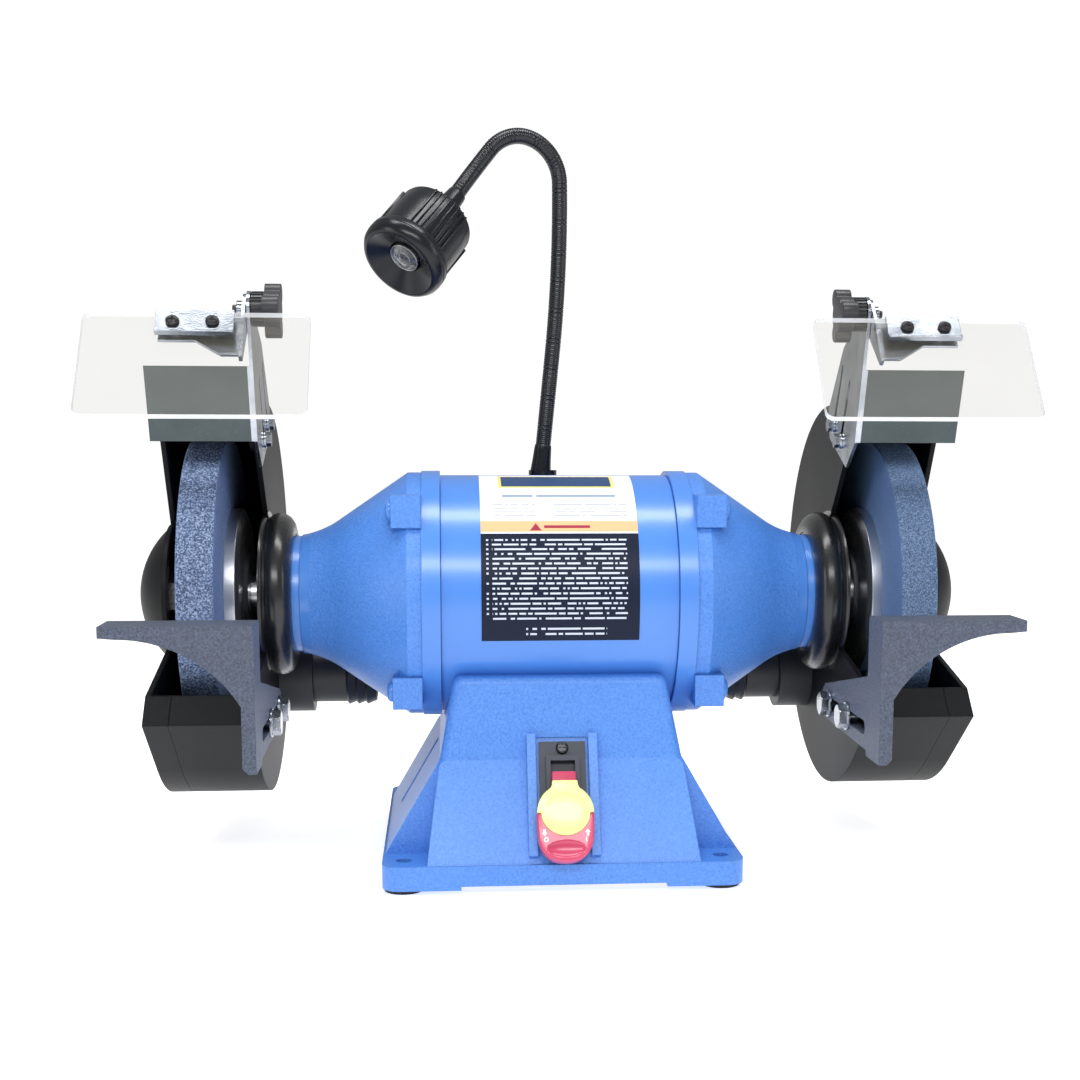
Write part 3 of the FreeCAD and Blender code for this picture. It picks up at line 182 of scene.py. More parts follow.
# %% A node tree that takes sums
class Tree:
    """Adds nodes to one tree: settings first, then the values or links of the sockets."""

    def __init__(self, tree):
        self.tree = tree

    def join(self, value, socket):
        if isinstance(value, Value):
            self.tree.links.new(value.socket, socket)
        else:
            socket.default_value = value

    def node(self, kind, settings=None, sockets=None, output=0):
        made = self.tree.nodes.new(kind)
        for key, setting in (settings or {}).items():
            if key == "stops":
                ramp = made.color_ramp
                for index, (place, colour) in enumerate(setting):
                    stop = ramp.elements[index] if index < 2 else ramp.elements.new(place)
                    stop.position = place
                    stop.color = (*colour, 1)
            else:
                setattr(made, key, setting)
        for key, value in (sockets or {}).items():
            self.join(value, made.inputs[key])
        return Value(self, made.outputs[output])

    def maths(self, operation, *terms):
        return self.node("ShaderNodeMath", {"operation": operation}, dict(enumerate(terms)))


# %% [markdown]
# ## A finish
#
# Every finish starts from the Principled shader and the spot's own place on the machine.
# Reading the place in the object's coordinates keeps grain and marks fixed to the part when it moves.

# %% The finish class
class Finish(Tree):
    """One material: constants on the shader's sockets, and whatever varies linked in."""

    def __init__(self, name, **constants):
        self.material = bpy.data.materials.new(name)
        self.material.use_nodes = True
        super().__init__(self.material.node_tree)
        self.shader = self.tree.nodes["Principled BSDF"]
        for key, value in constants.items():
            self.shader.inputs[key.replace("_", " ").title().replace("Ior", "IOR")].default_value = value
        self.place = self.node("ShaderNodeTexCoord", output="Object")

    def axes(self):
        """The spot's x, y and z in metres."""
        split = self.tree.nodes.new("ShaderNodeSeparateXYZ")
        self.join(self.place, split.inputs[0])
        return [Value(self, socket) for socket in split.outputs]

    def from_shaft(self):
        """Distance from the shaft line."""
        _, y, z = self.axes()
        rise = z - SHAFT_Z
        return self.maths("SQRT", y * y + rise * rise)

    def noise(self, scale, detail=2.0, roughness=0.5, place=None):
        sockets = {"Vector": place or self.place, "Scale": scale, "Detail": detail, "Roughness": roughness}
        return self.node("ShaderNodeTexNoise", None, sockets)

    def grains(self, scale, output="Distance"):
        return self.node("ShaderNodeTexVoronoi", None, {"Vector": self.place, "Scale": scale}, output)

    def mix(self, first, second, factor):
        """A colour between two colours."""
        ends = [end if isinstance(end, Value) else (*end, 1) for end in (first, second)]
        return self.node("ShaderNodeMix", {"data_type": "RGBA"}, {0: factor, 6: ends[0], 7: ends[1]}, 2)

    def ramp(self, value, *stops):
        return self.node("ShaderNodeValToRGB", {"stops": stops}, {0: value})

    def feed(self, socket, value):
        self.join(value, self.shader.inputs[socket])

    def relief(self, height, depth, strength=1.0, edge=None):
        """Raises the surface by height times depth metres, over softened edges if edge is given."""
        sockets = {"Height": height, "Distance": depth, "Strength": strength}
        if edge:
            sockets["Normal"] = self.node("ShaderNodeBevel", {"samples": 4}, {"Radius": edge})
        self.feed("Normal", self.node("ShaderNodeBump", None, sockets))


def between(value, low, high):
    """1 where the value lies between low and high, 0 elsewhere."""
    return (value > low) * (value < high)


# %% [markdown]
# ## Blue enamel
#
# The base and the two end bells are sand castings: the thick enamel follows the sand's grain,
# so the faces glitter like orange peel; that glitter is painted in as a highlight, the grain lighter
# in colour on the cast faces. The bands that were turned on a lathe, and the rolled
# motor shell, carry the same enamel on a smooth face.
# One recipe makes all three, with a mask that says where the face is cast.

# %% Blue enamel
def blue_enamel(name, cast_between):
    paint = Finish(name, coat_roughness=0.2, specular_ior_level=0.5)
    x, _, _ = paint.axes()
    cast = between(abs(x), *cast_between)
    grain = paint.noise(560, 3.0, 0.6)
    fine = paint.noise(1700, 1.0)
    patches = paint.noise(6, 2.0)
    # the cast grain painted paler where it rises: a painted highlight for the orange peel's glitter, over
    # random patches of tone
    painted_glint = (grain - 0.5) * cast
    patches_and_painted_glint = patches * 0.5 + painted_glint * 1.9 + 0.2
    paint.feed("Base Color", paint.mix((0.036, 0.152, 0.52), (0.088, 0.272, 0.74), patches_and_painted_glint))
    paint.feed("Roughness", 0.26 + cast * 0.14 + fine * 0.06)
    paint.feed("Coat Weight", 0.25 - cast * 0.1)
    paint.relief((grain + fine * 0.35) * (cast * 0.94 + 0.03), 0.0011, 0.55, edge=0.0012)
    return paint


base_enamel = blue_enamel("cast_blue_enamel", (-1, 1))
bell_enamel = blue_enamel("bell_blue_enamel", (0.1071, 0.1975))
shell_enamel = blue_enamel("smooth_blue_enamel", (2, 3))
print(base_enamel.material.name, bell_enamel.material.name, shell_enamel.material.name)

# %% [markdown]
# ## Black guards and cast rests
#
# The wheel guards carry a black wrinkle enamel: flat sheet is nearly smooth, and round the hub
# the coat is thicker and pebbled. The tool rests are rough iron castings under a hammered black,
# whose ridges catch the light as a glitter of short pale dashes, painted into the colour
# as a painted highlight on the crests.

# %% Guard enamel
def guard_enamel():
    paint = Finish("black_wrinkle_enamel", specular_ior_level=0.12, coat_roughness=0.24)
    x, _, _ = paint.axes()
    hub = between(abs(x), 0.19, 0.2361) * (paint.from_shaft() < 0.0675)
    pebble = paint.noise(470, 2.5, 0.6)
    fine = paint.noise(1300, 2.0)
    dust = paint.noise(9, 3.0)
    paint.feed("Base Color", paint.mix((0.002, 0.003, 0.005), (0.008, 0.008, 0.008), dust))
    paint.feed("Roughness", 0.38 - hub * 0.1 + dust * 0.12)
    paint.feed("Coat Weight", hub * 0.8)
    paint.relief(fine * (1 - hub) * 0.25 + pebble * hub, 0.0012, 0.5, edge=0.0016)
    return paint


def hammered_black():
    paint = Finish("hammered_black_cast", specular_ior_level=0.7)
    ridges = paint.noise(620, 3.0, 0.6)
    fine = paint.noise(1500, 2.0)
    # crests of the ridges and fine grain painted paler: a painted highlight for the glitter of the hammered
    # black
    crest = (ridges - 0.5) * 1.6 + (fine - 0.5) * 1.2 + 0.45
    paint.feed("Base Color", paint.mix((0.030, 0.040, 0.066), (0.135, 0.175, 0.285), crest))
    paint.feed("Roughness", 0.42 - crest * 0.12 + fine * 0.08)
    paint.relief(ridges + fine * 0.3, 0.0052, 1.0, edge=0.0016)
    return paint


guard_black = guard_enamel()
rest_black = hammered_black()
print(guard_black.material.name, rest_black.material.name)

# %% [markdown]
# ## Bare metal
#
# Bolts, plates and arms are zinc plated: bright, faintly mottled, with fine drawing lines.
# The face of each shield arm that looks at the wheel is satin with specks of dust, and painted a darker
# grey-green as a painted dark reflection.
# Turned steel shows fine rings round the shaft.

# %% Zinc
def zinc_plate(name, painted_dark_between=(2, 3)):
    metal = Finish(name)
    x, _, _ = metal.axes()
    painted_dark_face = between(abs(x), *painted_dark_between)
    mottle = metal.noise(45, 3.0)
    scratches = metal.noise(900, 2.0)
    specks = metal.noise(420, 0.0) > 0.79
    bright = metal.mix((0.20, 0.225, 0.26), (0.54, 0.57, 0.62), mottle * 1.6 - 0.3)
    # the face that looks at the wheel: a painted dark reflection in its colour, lightened by real dust
    # specks
    painted_reflection_and_dust = metal.mix((0.036, 0.050, 0.053), (0.076, 0.096, 0.100), mottle + specks * 2)
    metal.feed("Base Color", metal.mix(bright, painted_reflection_and_dust, painted_dark_face))
    metal.feed("Metallic", 1 - painted_dark_face * 0.45)
    metal.feed("Roughness", 0.13 + mottle * 0.14 + painted_dark_face * 0.2)
    metal.relief(scratches + mottle, 0.0003, 0.3, edge=0.0006)
    return metal


# %% Turned and ground steel
def turned_steel(name, pale, dark, roughness):
    metal = Finish(name, metallic=1.0)
    rings = metal.noise(1.0, 2.0, 0.6, metal.node(
        "ShaderNodeCombineXYZ", None, {0: metal.from_shaft() * 1600, 1: metal.axes()[0] * 60}))
    stain = metal.noise(30, 3.0)
    metal.feed("Base Color", metal.mix(dark, pale, rings * 0.6 + stain * 0.4))
    metal.feed("Roughness", roughness + rings * 0.14)
    metal.relief(rings, 0.0002, 0.4, edge=0.0008)
    return metal


zinc = zinc_plate("bright_zinc")
arm_zinc = zinc_plate("shield_arm_zinc", (0.2336, 0.4))
turned = turned_steel("turned_steel", (0.80, 0.81, 0.82), (0.50, 0.52, 0.55), 0.22)
bearing = turned_steel("bearing_steel_polished", (0.86, 0.87, 0.88), (0.70, 0.71, 0.73), 0.08)
laminated = turned_steel("core_laminations", (0.30, 0.31, 0.33), (0.16, 0.17, 0.19), 0.42)
print(zinc.material.name, arm_zinc.material.name, turned.material.name)

# %% [markdown]
# ## Abrasive wheels
#
# A wheel is sharp grains in a glassy bond. Each grain faces its own way, so neighbours flash
# pale or fall dark. A cell pattern gives the grains a colour of their own, and its pale and dark cells
# are also a painted highlight and painted shade for that flash, strongest on the tread;
# on the flat sides, where the wheel was trued, the grains are worn level and the contrast is low.

# %% Abrasive
TREAD_STARTS = 0.1262  # metres from the shaft, just inside the wheel's rim


def abrasive(name, grain, dark, middle, pale, contrast):
    stone = Finish(name, specular_ior_level=0.6)
    tread = stone.from_shaft() > TREAD_STARTS
    facets = stone.node("ShaderNodeSeparateColor", None, {0: stone.grains(grain, "Color")})
    cloud = stone.noise(14, 3.0)
    pits = stone.grains(grain * 0.55)
    # grain cells, partly their own tone and partly painted highlight and painted shade for each facet's
    # flash, with random cloud
    grain_tone_and_painted_flash = (facets - 0.5) * (tread * contrast + 0.28) + cloud * 0.3 + 0.32
    stone.feed("Base Color", stone.ramp(grain_tone_and_painted_flash, (0.0, dark), (0.45, middle), (1.0, pale)))
    stone.feed("Roughness", 0.82 - facets * tread * 0.45)
    stone.relief(facets * 0.6 + pits, 0.0011, tread * 0.6 + 0.25)
    return stone


coarse_stone = abrasive(
    "coarse_abrasive", 1050, (0.030, 0.052, 0.115), (0.075, 0.125, 0.255), (0.27, 0.36, 0.56), 0.9)
fine_stone = abrasive(
    "fine_abrasive", 1500, (0.034, 0.065, 0.135), (0.066, 0.130, 0.265), (0.17, 0.27, 0.45), 0.8)
print(coarse_stone.material.name, fine_stone.material.name)

# %% [markdown]
# ## Plastics, rubber, copper and clear sheet
#
# Moulded parts differ mostly in gloss and in a very fine skin.
# The clear shields are thin enough that their faces only tint what is behind them, while their
# sawn edges gather light and look white, so the sheet's cover is set by which way the spot faces.

# %% Moulded parts
def moulded(name, dark, pale, roughness, grain=900, depth=0.0002, **constants):
    skin = Finish(name, **constants)
    patches = skin.noise(18, 2.0)
    fine = skin.noise(grain, 2.0)
    skin.feed("Base Color", skin.mix(dark, pale, patches))
    skin.feed("Roughness", roughness + fine * 0.08)
    skin.relief(fine, depth, 0.35)
    return skin


lamp_black = moulded(
    "lamp_gloss_black", (0.003, 0.004, 0.006), (0.008, 0.009, 0.013), 0.20,
    depth=0.0001, specular_ior_level=0.3)
hose_black = moulded(
    "hose_black", (0.003, 0.004, 0.006), (0.009, 0.010, 0.014), 0.18, specular_ior_level=0.4)
knob_black = moulded("knob_black", (0.012, 0.012, 0.014), (0.030, 0.031, 0.036), 0.34)
plate_black = moulded("switch_plate_slate", (0.020, 0.025, 0.038), (0.036, 0.043, 0.060), 0.46, 1400, 0.0003)
outlet_black = moulded("outlet_black", (0.012, 0.013, 0.016), (0.024, 0.025, 0.028), 0.42)
screw_black = moulded("screw_black_oxide", (0.014, 0.014, 0.016), (0.040, 0.040, 0.044), 0.20, metallic=0.7)
foot_rubber = moulded("foot_rubber", (0.010, 0.010, 0.010), (0.024, 0.023, 0.022), 0.72, 500, 0.0004)
paddle_red = moulded(
    "paddle_red", (0.44, 0.030, 0.085), (0.55, 0.050, 0.125), 0.26, 300, 0.0002, coat_weight=0.25)
disc_yellow = moulded(
    "disc_pale_yellow", (0.66, 0.76, 0.22), (0.74, 0.82, 0.31), 0.26, 260, 0.0003, coat_weight=0.25)
mark_white = moulded("mark_white", (0.80, 0.80, 0.80), (0.90, 0.90, 0.90), 0.4)
winding_copper = moulded(
    "winding_copper", (0.50, 0.17, 0.07), (0.72, 0.28, 0.12), 0.25, 700, 0.0006, metallic=1.0)
print("moulded finishes ready")

# %% Clear sheet and lens
def clear_sheet(name, lean):
    sheet = Finish(name, ior=1.49, roughness=0.06, specular_ior_level=0.6)
    facing = sheet.node("ShaderNodeTexCoord", output="Normal")
    turned_by = math.radians(lean)
    along = (0, -math.sin(turned_by), math.cos(turned_by))
    flat = sheet.node("ShaderNodeVectorMath", {"operation": "DOT_PRODUCT"}, {0: facing, 1: along}, "Value")
    edge = 1 - abs(flat)
    rim = sheet.maths("POWER", sheet.maths("MINIMUM", edge * 1.4, 1.0), 0.7)
    haze = sheet.noise(12, 2.0)
    sheet.feed("Base Color", sheet.mix((0.24, 0.23, 0.20), (0.95, 0.965, 0.97), rim))
    sheet.feed("Alpha", 0.10 + haze * 0.05 + rim * 0.58)
    return sheet


def lens_glass():
    glass = Finish("lens_glass_frosted", ior=1.5, coat_weight=1.0, roughness=0.1)
    swirl = glass.grains(520)
    glass.feed("Base Color", glass.mix((0.010, 0.011, 0.013), (0.20, 0.21, 0.22), swirl * 0.6))
    glass.relief(swirl, 0.0006, 0.6)
    return glass


lens_clear = lens_glass()
print(lens_clear.material.name)

# %% [markdown]
# ## The rating label
#
# A printed film wraps the front of the shell: white at the top, an orange band, then navy.
# Its words are replaced by plain dashes. The angle round the shaft, from the top towards
# the front, is the label's own height, so each row is a band of that angle, and a random
# number for each row and column breaks it into word-long dashes.

# %% The label
NAVY_STARTS = 56.3  # degrees round the shaft, from the top towards the front


def label_film():
    film = Finish("label_print", roughness=0.4, specular_ior_level=0.12)
    x, y, z = film.axes()
    angle = film.maths("ARCTAN2", y * -1, z - SHAFT_Z) * (180 / math.pi)
    navy = angle > NAVY_STARTS

    def dashes(first, last, rows, left, right, word, fill):
        """Rows of word-long dashes between two angles."""
        row = (angle - first) * (rows / (last - first))
        inside = between(angle, first, last) * between(x, left, right)
        stroke = between(film.maths("FRACT", row), 0.30, 0.68)
        cell = film.node("ShaderNodeCombineXYZ", None, {
            0: film.maths("FLOOR", x / word), 1: film.maths("FLOOR", row) * 7.31})
        chance = film.node("ShaderNodeTexWhiteNoise", {"noise_dimensions": "3D"}, {"Vector": cell})
        return inside * stroke * (chance < fill)

    heading = between(angle, 10, 24) * (abs(x) < 0.044)
    heading_edge = between(angle, 9, 25.5) * (abs(x) < 0.0465)
    title = dashes(30.5, 35, 1, -0.044, 0.046, 0.0028, 0.86)
    grey = dashes(38, 47.5, 4, -0.052, -0.018, 0.0021, 0.8)
    grey = grey + dashes(38, 47.5, 4, -0.004, 0.054, 0.0021, 0.74)
    warning = dashes(50.6, 54.8, 1, -0.012, 0.024, 0.0030, 0.95)
    sign = between(angle - abs(x + 0.0185) * 900, 50.6, 54.8) * (angle < 54.8)
    rows = dashes(58.5, 97.5, 17, -0.053, 0.052, 0.0017, 0.74)
    bullets = dashes(58.5, 97.5, 17, -0.0575, -0.0558, 0.5, 0.62)
    footer = dashes(100, 105, 2, -0.027, 0.036, 0.0017, 0.72)

    white = film.mix((0.74, 0.75, 0.79), (0.80, 0.81, 0.84), film.noise(20))
    top = film.mix(white, (0.72, 0.60, 0.20), heading_edge)
    top = film.mix(top, (0.030, 0.065, 0.15), heading)
    top = film.mix(top, (0.14, 0.22, 0.36), title * 0.85)
    top = film.mix(top, (0.30, 0.33, 0.40), grey * 0.8)
    band = film.mix((0.83, 0.42, 0.22), (0.30, 0.03, 0.06), warning + sign)
    low = film.mix((0.008, 0.013, 0.030), (0.52, 0.57, 0.67), rows + bullets + footer)
    print_on = film.mix(film.mix(top, band, between(angle, 49.4, 55.4)), low, navy)
    film.feed("Base Color", print_on)
    film.relief(film.noise(60), 0.0001, 0.3)
    return film


rating_film = label_film()
print(rating_film.material.name, "turns navy at", NAVY_STARTS, "degrees")

# %% [markdown]
# ## Finishing the CAD parts
#
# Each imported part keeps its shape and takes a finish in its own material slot.
# The two clear shields lean the same way, so they share one sheet finish.

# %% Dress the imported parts
SHIELD_LEAN = 54.0  # degrees from upright
shield_sheet = clear_sheet("shield_clear_sheet", SHIELD_LEAN)
both = ("left", "right")
outfit = {
    base_enamel: ["base_casting"],
    bell_enamel: ["end_bell_left", "end_bell_right"],
    shell_enamel: ["motor_shell", "end_bell_screws"],
    guard_black: [f"{part}_{side}" for part in ("guard_housing", "guard_cover") for side in both],
    rest_black: [f"tool_rest_{side}" for side in both],
    arm_zinc: [f"shield_arm_{side}" for side in both],
    zinc: ["base_bottom_plate", "bottom_plate_screws", "motor_bolts", "guard_screws", "tool_rest_bolts",
           "arm_bolts", "clamp_strip_left", "clamp_strip_right", "shield_bracket_left",
           "shield_bracket_right"],
    turned: ["spindle_shaft", "inner_wheel_flanges", "outer_wheel_flanges", "spindle_nuts", "wave_washer"],
    bearing: ["bearing_outer_rings", "bearing_inner_rings", "bearing_balls"],
    laminated: ["stator_core", "rotor"],
    winding_copper: ["stator_windings"],
    coarse_stone: ["wheel_left"],
    fine_stone: ["wheel_right"],
    foot_rubber: ["rubber_feet"],
    outlet_black: ["dust_outlet_left", "dust_outlet_right", "cable_gland", "run_capacitor"],
    plate_black: ["switch_plate", "switch_body"],
    screw_black: ["switch_screw", "shield_screws_left", "shield_screws_right"],
    knob_black: ["shield_knob_left", "shield_knob_right"],
    lamp_black: ["lamp_socket", "lamp_neck_lower", "lamp_neck_middle", "lamp_neck_upper", "lamp_head",
                 "lamp_bezel"],
    lens_clear: ["lamp_lens"],
    paddle_red: ["switch_paddle"],
    disc_yellow: ["switch_key"],
    shield_sheet: ["eye_shield_left", "eye_shield_right"],
    rating_film: ["rating_label"],
}
for finish, names in outfit.items():
    for name in names:
        for material_slot in nodes[name].material_slots:
            material_slot.material = finish.material
print("undressed parts:", sorted(set(nodes) - {name for names in outfit.values() for name in names}))

# %% [markdown]
# ## Tools for making new pieces
#
# Turned parts are a profile spun round an axis, flat mouldings are an outline given thickness,
# and both get their sharp edges rounded by a Bevel modifier.
# A finished piece keeps its place in its mesh, so its object stays at the origin.

# %% Meshes
MM = 0.001


def mesh_of(name, work):
    mesh = bpy.data.meshes.new(name)
    bmesh.ops.recalc_face_normals(work, faces=work.faces)
    work.to_mesh(mesh)
    work.free()
    return mesh


def lathe(name, profile, steps=96):
    """A closed solid spun round Z from (radius, height) pairs in millimetres."""
    work = bmesh.new()
    rings = []
    for radius, height in profile:
        if radius == 0:
            rings.append([work.verts.new((0, 0, height * MM))] * steps)
            continue
        rings.append([work.verts.new((
            radius * MM * math.cos(2 * math.pi * step / steps),
            radius * MM * math.sin(2 * math.pi * step / steps),
            height * MM)) for step in range(steps)])
    for ring, following in zip(rings, rings[1:]):
        for step in range(steps):
            corners = [ring[step - 1], ring[step], following[step], following[step - 1]]
            corners = [corner for index, corner in enumerate(corners) if corner not in corners[:index]]
            if len(corners) > 2:
                work.faces.new(corners)
    if profile[0][0] and profile[0] != profile[-1]:
        work.faces.new(rings[0])
        work.faces.new(rings[-1])
    bmesh.ops.remove_doubles(work, verts=work.verts, dist=1e-7)
    return mesh_of(name, work)


def slab(name, outline, low, high):
    """A flat moulding from an outline in millimetres, between two heights."""
    work = bmesh.new()
    floor_ring = [work.verts.new((x * MM, y * MM, low * MM)) for x, y in outline]
    roof_ring = [work.verts.new((x * MM, y * MM, high * MM)) for x, y in outline]
    work.faces.new(floor_ring)
    work.faces.new(roof_ring)
    for step in range(len(outline)):
        work.faces.new((floor_ring[step - 1], floor_ring[step], roof_ring[step], roof_ring[step - 1]))
    return mesh_of(name, work)


# %% Modifiers and places
def solid_from(maker):
    """The plain mesh that an object's modifiers give; the object itself goes."""
    view = bpy.context.evaluated_depsgraph_get()
    mesh = bpy.data.meshes.new_from_object(maker.evaluated_get(view), depsgraph=view)
    bpy.data.objects.remove(maker)
    return mesh


def maker_of(mesh):
    maker = bpy.data.objects.new(mesh.name + "_maker", mesh)
    bpy.context.scene.collection.objects.link(maker)
    return maker


def rounded(mesh, width, segments=3, angle=35):
    maker = maker_of(mesh)
    bevel = maker.modifiers.new("rounded", "BEVEL")
    bevel.width = width * MM
    bevel.segments = segments
    bevel.angle_limit = math.radians(angle)
    bevel.use_clamp_overlap = True
    return solid_from(maker)


def cut(mesh, *tools):
    """The mesh with each tool mesh taken away."""
    maker = maker_of(mesh)
    helpers = [maker_of(tool) for tool in tools]
    for helper in helpers:
        bite = maker.modifiers.new("bite", "BOOLEAN")
        bite.operation = "DIFFERENCE"
        bite.solver = "EXACT"
        bite.object = helper
    carved = solid_from(maker)
    for helper in helpers:
        bpy.data.objects.remove(helper)
    return carved


def together(name, *meshes):
    work = bmesh.new()
    for mesh in meshes:
        work.from_mesh(mesh)
    mesh = bpy.data.meshes.new(name)
    work.to_mesh(mesh)
    work.free()
    return mesh


def along(origin, way):
    """The place whose Z axis leaves origin in the direction way."""
    return Matrix.Translation(origin) @ Vector(way).to_track_quat("Z", "Y").to_matrix().to_4x4()


# %% A finished piece
def piece(name, mesh, finish, body=None, stands_for=(), place=None, crease=32):
    """Puts a mesh in its place, turns it outside out if needed and fixes it to its body."""
    if place is not None:
        mesh.transform(place)
    work = bmesh.new()
    work.from_mesh(mesh)
    if work.calc_volume(signed=True) < 0:
        bmesh.ops.reverse_faces(work, faces=work.faces)
    work.to_mesh(mesh)
    work.free()
    mesh.materials.clear()
    mesh.materials.append(finish.material)
    mesh.shade_smooth()
    mesh.set_sharp_from_angle(angle=math.radians(crease))
    made = bpy.data.objects.new(name, mesh)
    bpy.context.scene.collection.objects.link(made)
    if body:
        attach(made, body)
    if stands_for:
        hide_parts(*stands_for)
    print(name, len(mesh.polygons), "faces")
    return made


# %% [markdown]
# ## Geometry Nodes for what repeats
#
# The hose's ribs and the ribs round the lamp and the knobs follow simple rules: a wave along a line,
# and copies round a circle. Modelled by hand each would be hundreds of faces to place.
# As a node tree the rule is written once, and the pitch and count stay open to change.

# %% A recipe in nodes
class Recipe(Tree):
    """A Geometry Nodes tree with named inputs that ends in one plain mesh."""

    def __init__(self, name, inputs):
        super().__init__(bpy.data.node_groups.new(name, "GeometryNodeTree"))
        face = self.tree.interface
        face.new_socket("Geometry", in_out="INPUT", socket_type="NodeSocketGeometry")
        for label, amount in inputs.items():
            kind = "NodeSocketInt" if isinstance(amount, int) else "NodeSocketFloat"
            face.new_socket(label, in_out="INPUT", socket_type=kind).default_value = amount
        face.new_socket("Finish", in_out="INPUT", socket_type="NodeSocketMaterial")
        face.new_socket("Geometry", in_out="OUTPUT", socket_type="NodeSocketGeometry")
        self.start = self.tree.nodes.new("NodeGroupInput")

    def given(self, label):
        return Value(self, self.start.outputs[label])

    def end(self, shape):
        real = self.node("GeometryNodeRealizeInstances", None, {0: shape})
        coated = self.node("GeometryNodeSetMaterial", None, {
            "Geometry": real, "Material": self.given("Finish")})
        self.join(coated, self.tree.nodes.new("NodeGroupOutput").inputs[0])

    def cook(self, mesh, finish, amounts):
        """Runs the recipe on a mesh with the given amounts."""
        maker = maker_of(mesh)
        modifier = maker.modifiers.new(self.tree.name, "NODES")
        modifier.node_group = self.tree
        sockets = self.tree.interface.items_tree
        names = {item.name: item.identifier for item in sockets if item.in_out == "INPUT"}
        for label, amount in amounts.items():
            modifier[names[label]] = amount
        modifier[names["Finish"]] = finish.material
        return solid_from(maker)


# %% The ribbed hose recipe
def hose_recipe():
    hose = Recipe("ribbed_hose", {
        "Radius": 0.0062, "Rib pitch": 0.0034, "Rib depth": 0.1, "Ring spacing": 0.00048, "Sides": 20})
    line = hose.node("GeometryNodeMeshToCurve", None, {"Mesh": hose.given("Geometry")})
    line = hose.node("GeometryNodeResampleCurve", {"mode": "LENGTH"}, {
        "Curve": line, "Length": hose.given("Ring spacing")})
    distance = hose.node("GeometryNodeSplineParameter", output="Length")
    wave = hose.maths("SINE", distance * (2 * math.pi) / hose.given("Rib pitch"))
    crest = hose.maths("POWER", abs(wave), 0.6) * hose.given("Rib depth")
    ring = hose.node("GeometryNodeCurvePrimitiveCircle", None, {
        "Resolution": hose.given("Sides"), "Radius": hose.given("Radius")})
    tube = hose.node("GeometryNodeCurveToMesh", None, {
        "Curve": line, "Profile Curve": ring, "Scale": crest + 0.97, "Fill Caps": True})
    hose.end(tube)
    return hose


# %% The rib ring recipe
def rib_recipe():
    ribs = Recipe("rib_ring", {
        "Count": 48, "Radius": 0.033, "Width": 0.001, "Height": 0.0012, "Length": 0.02,
        "Group": 6, "Kept": 5})
    circle = ribs.node("GeometryNodeMeshCircle", None, {
        "Vertices": ribs.given("Count"), "Radius": ribs.given("Radius")})
    index = ribs.node("GeometryNodeInputIndex")
    turn = ribs.node("ShaderNodeCombineXYZ", None, {2: index * (2 * math.pi) / ribs.given("Count")})
    size = ribs.node("ShaderNodeCombineXYZ", None, {
        0: ribs.given("Height"), 1: ribs.given("Width"), 2: ribs.given("Length")})
    bar = ribs.node("GeometryNodeMeshCube", None, {"Size": size})
    kept = ribs.maths("MODULO", index, ribs.given("Group")) < ribs.given("Kept")
    copies = ribs.node("GeometryNodeInstanceOnPoints", None, {
        "Points": circle, "Selection": kept, "Instance": bar, "Rotation": turn})
    ribs.end(copies)
    return ribs


# the rib ring makes its own circle, so it is cooked on the shortest of seeds
SEED = [Vector((0, 0, 0)), Vector((0, 0, 0.001))]
ribbed_hose = hose_recipe()
rib_ring = rib_recipe()
print(ribbed_hose.tree.name, rib_ring.tree.name)

# %% [markdown]
# ## The lamp's hose
#
# The lamp stands on a ribbed gooseneck that holds the bend it is given.
# Its line is a chain of circular arcs: each arc leaves in the direction the last one arrived,
# so the bends flow into each other. Two hoses share the line: the lower one up the stem,
# the upper one round the crook.

# %% The hose's line
ROOT = Vector((-0.005, 0.060, 0.333))
STEM_WAY = Vector((0.1, -0.03, 1)).normalized()
LOWER = Vector((0.0031, 0.060, 0.413))
UPPER_STEM = Vector((0.0092, 0.057, 0.5548))
CROOK = Vector((-0.0187, 0.045, 0.5901))
SHOULDER = Vector((-0.0489, 0.0389, 0.5788))
HEAD = Vector((-0.092, 0.010, 0.521))
HEAD_WAY = Vector((-0.50, -0.56, -0.66)).normalized()
BOOT_LONG = 26


def arcs_through(stations, way, samples=24):
    """Points on circular arcs through the stations, and the direction at the end."""
    points = [stations[0]]
    for start, end in zip(stations, stations[1:]):
        chord = (end - start).normalized()
        arriving = 2 * way.dot(chord) * chord - way
        turn = max(way.angle(arriving), 1e-4)
        reach = (end - start).length / (2 * math.sin(turn / 2)) * 4 / 3 * math.tan(turn / 4)
        points += geometry.interpolate_bezier(
            start, start + way * reach, end - arriving * reach, end, samples)[1:]
        way = arriving
    return points, way


def line_mesh(name, points):
    mesh = bpy.data.meshes.new(name)
    mesh.from_pydata(points, [(step, step + 1) for step in range(len(points) - 1)], [])
    return mesh


# %% Two hoses
stem_line, crook_way = arcs_through([ROOT - STEM_WAY * 0.004, LOWER, UPPER_STEM], STEM_WAY)
boot_start = HEAD - HEAD_WAY * BOOT_LONG * MM
crook_line, _ = arcs_through([UPPER_STEM, CROOK, SHOULDER, boot_start + HEAD_WAY * 0.003], crook_way)
lower_hose = piece("lamp_hose_lower", ribbed_hose.cook(line_mesh("stem_line", stem_line), hose_black, {}),
                   hose_black, None, ["lamp_neck_lower", "lamp_neck_middle"], crease=80)
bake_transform(lower_hose)
upper_hose = piece("lamp_hose_upper", ribbed_hose.cook(line_mesh("crook_line", crook_line), hose_black, {}),
                   hose_black, None, ["lamp_neck_upper"], crease=80)
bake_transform(upper_hose)

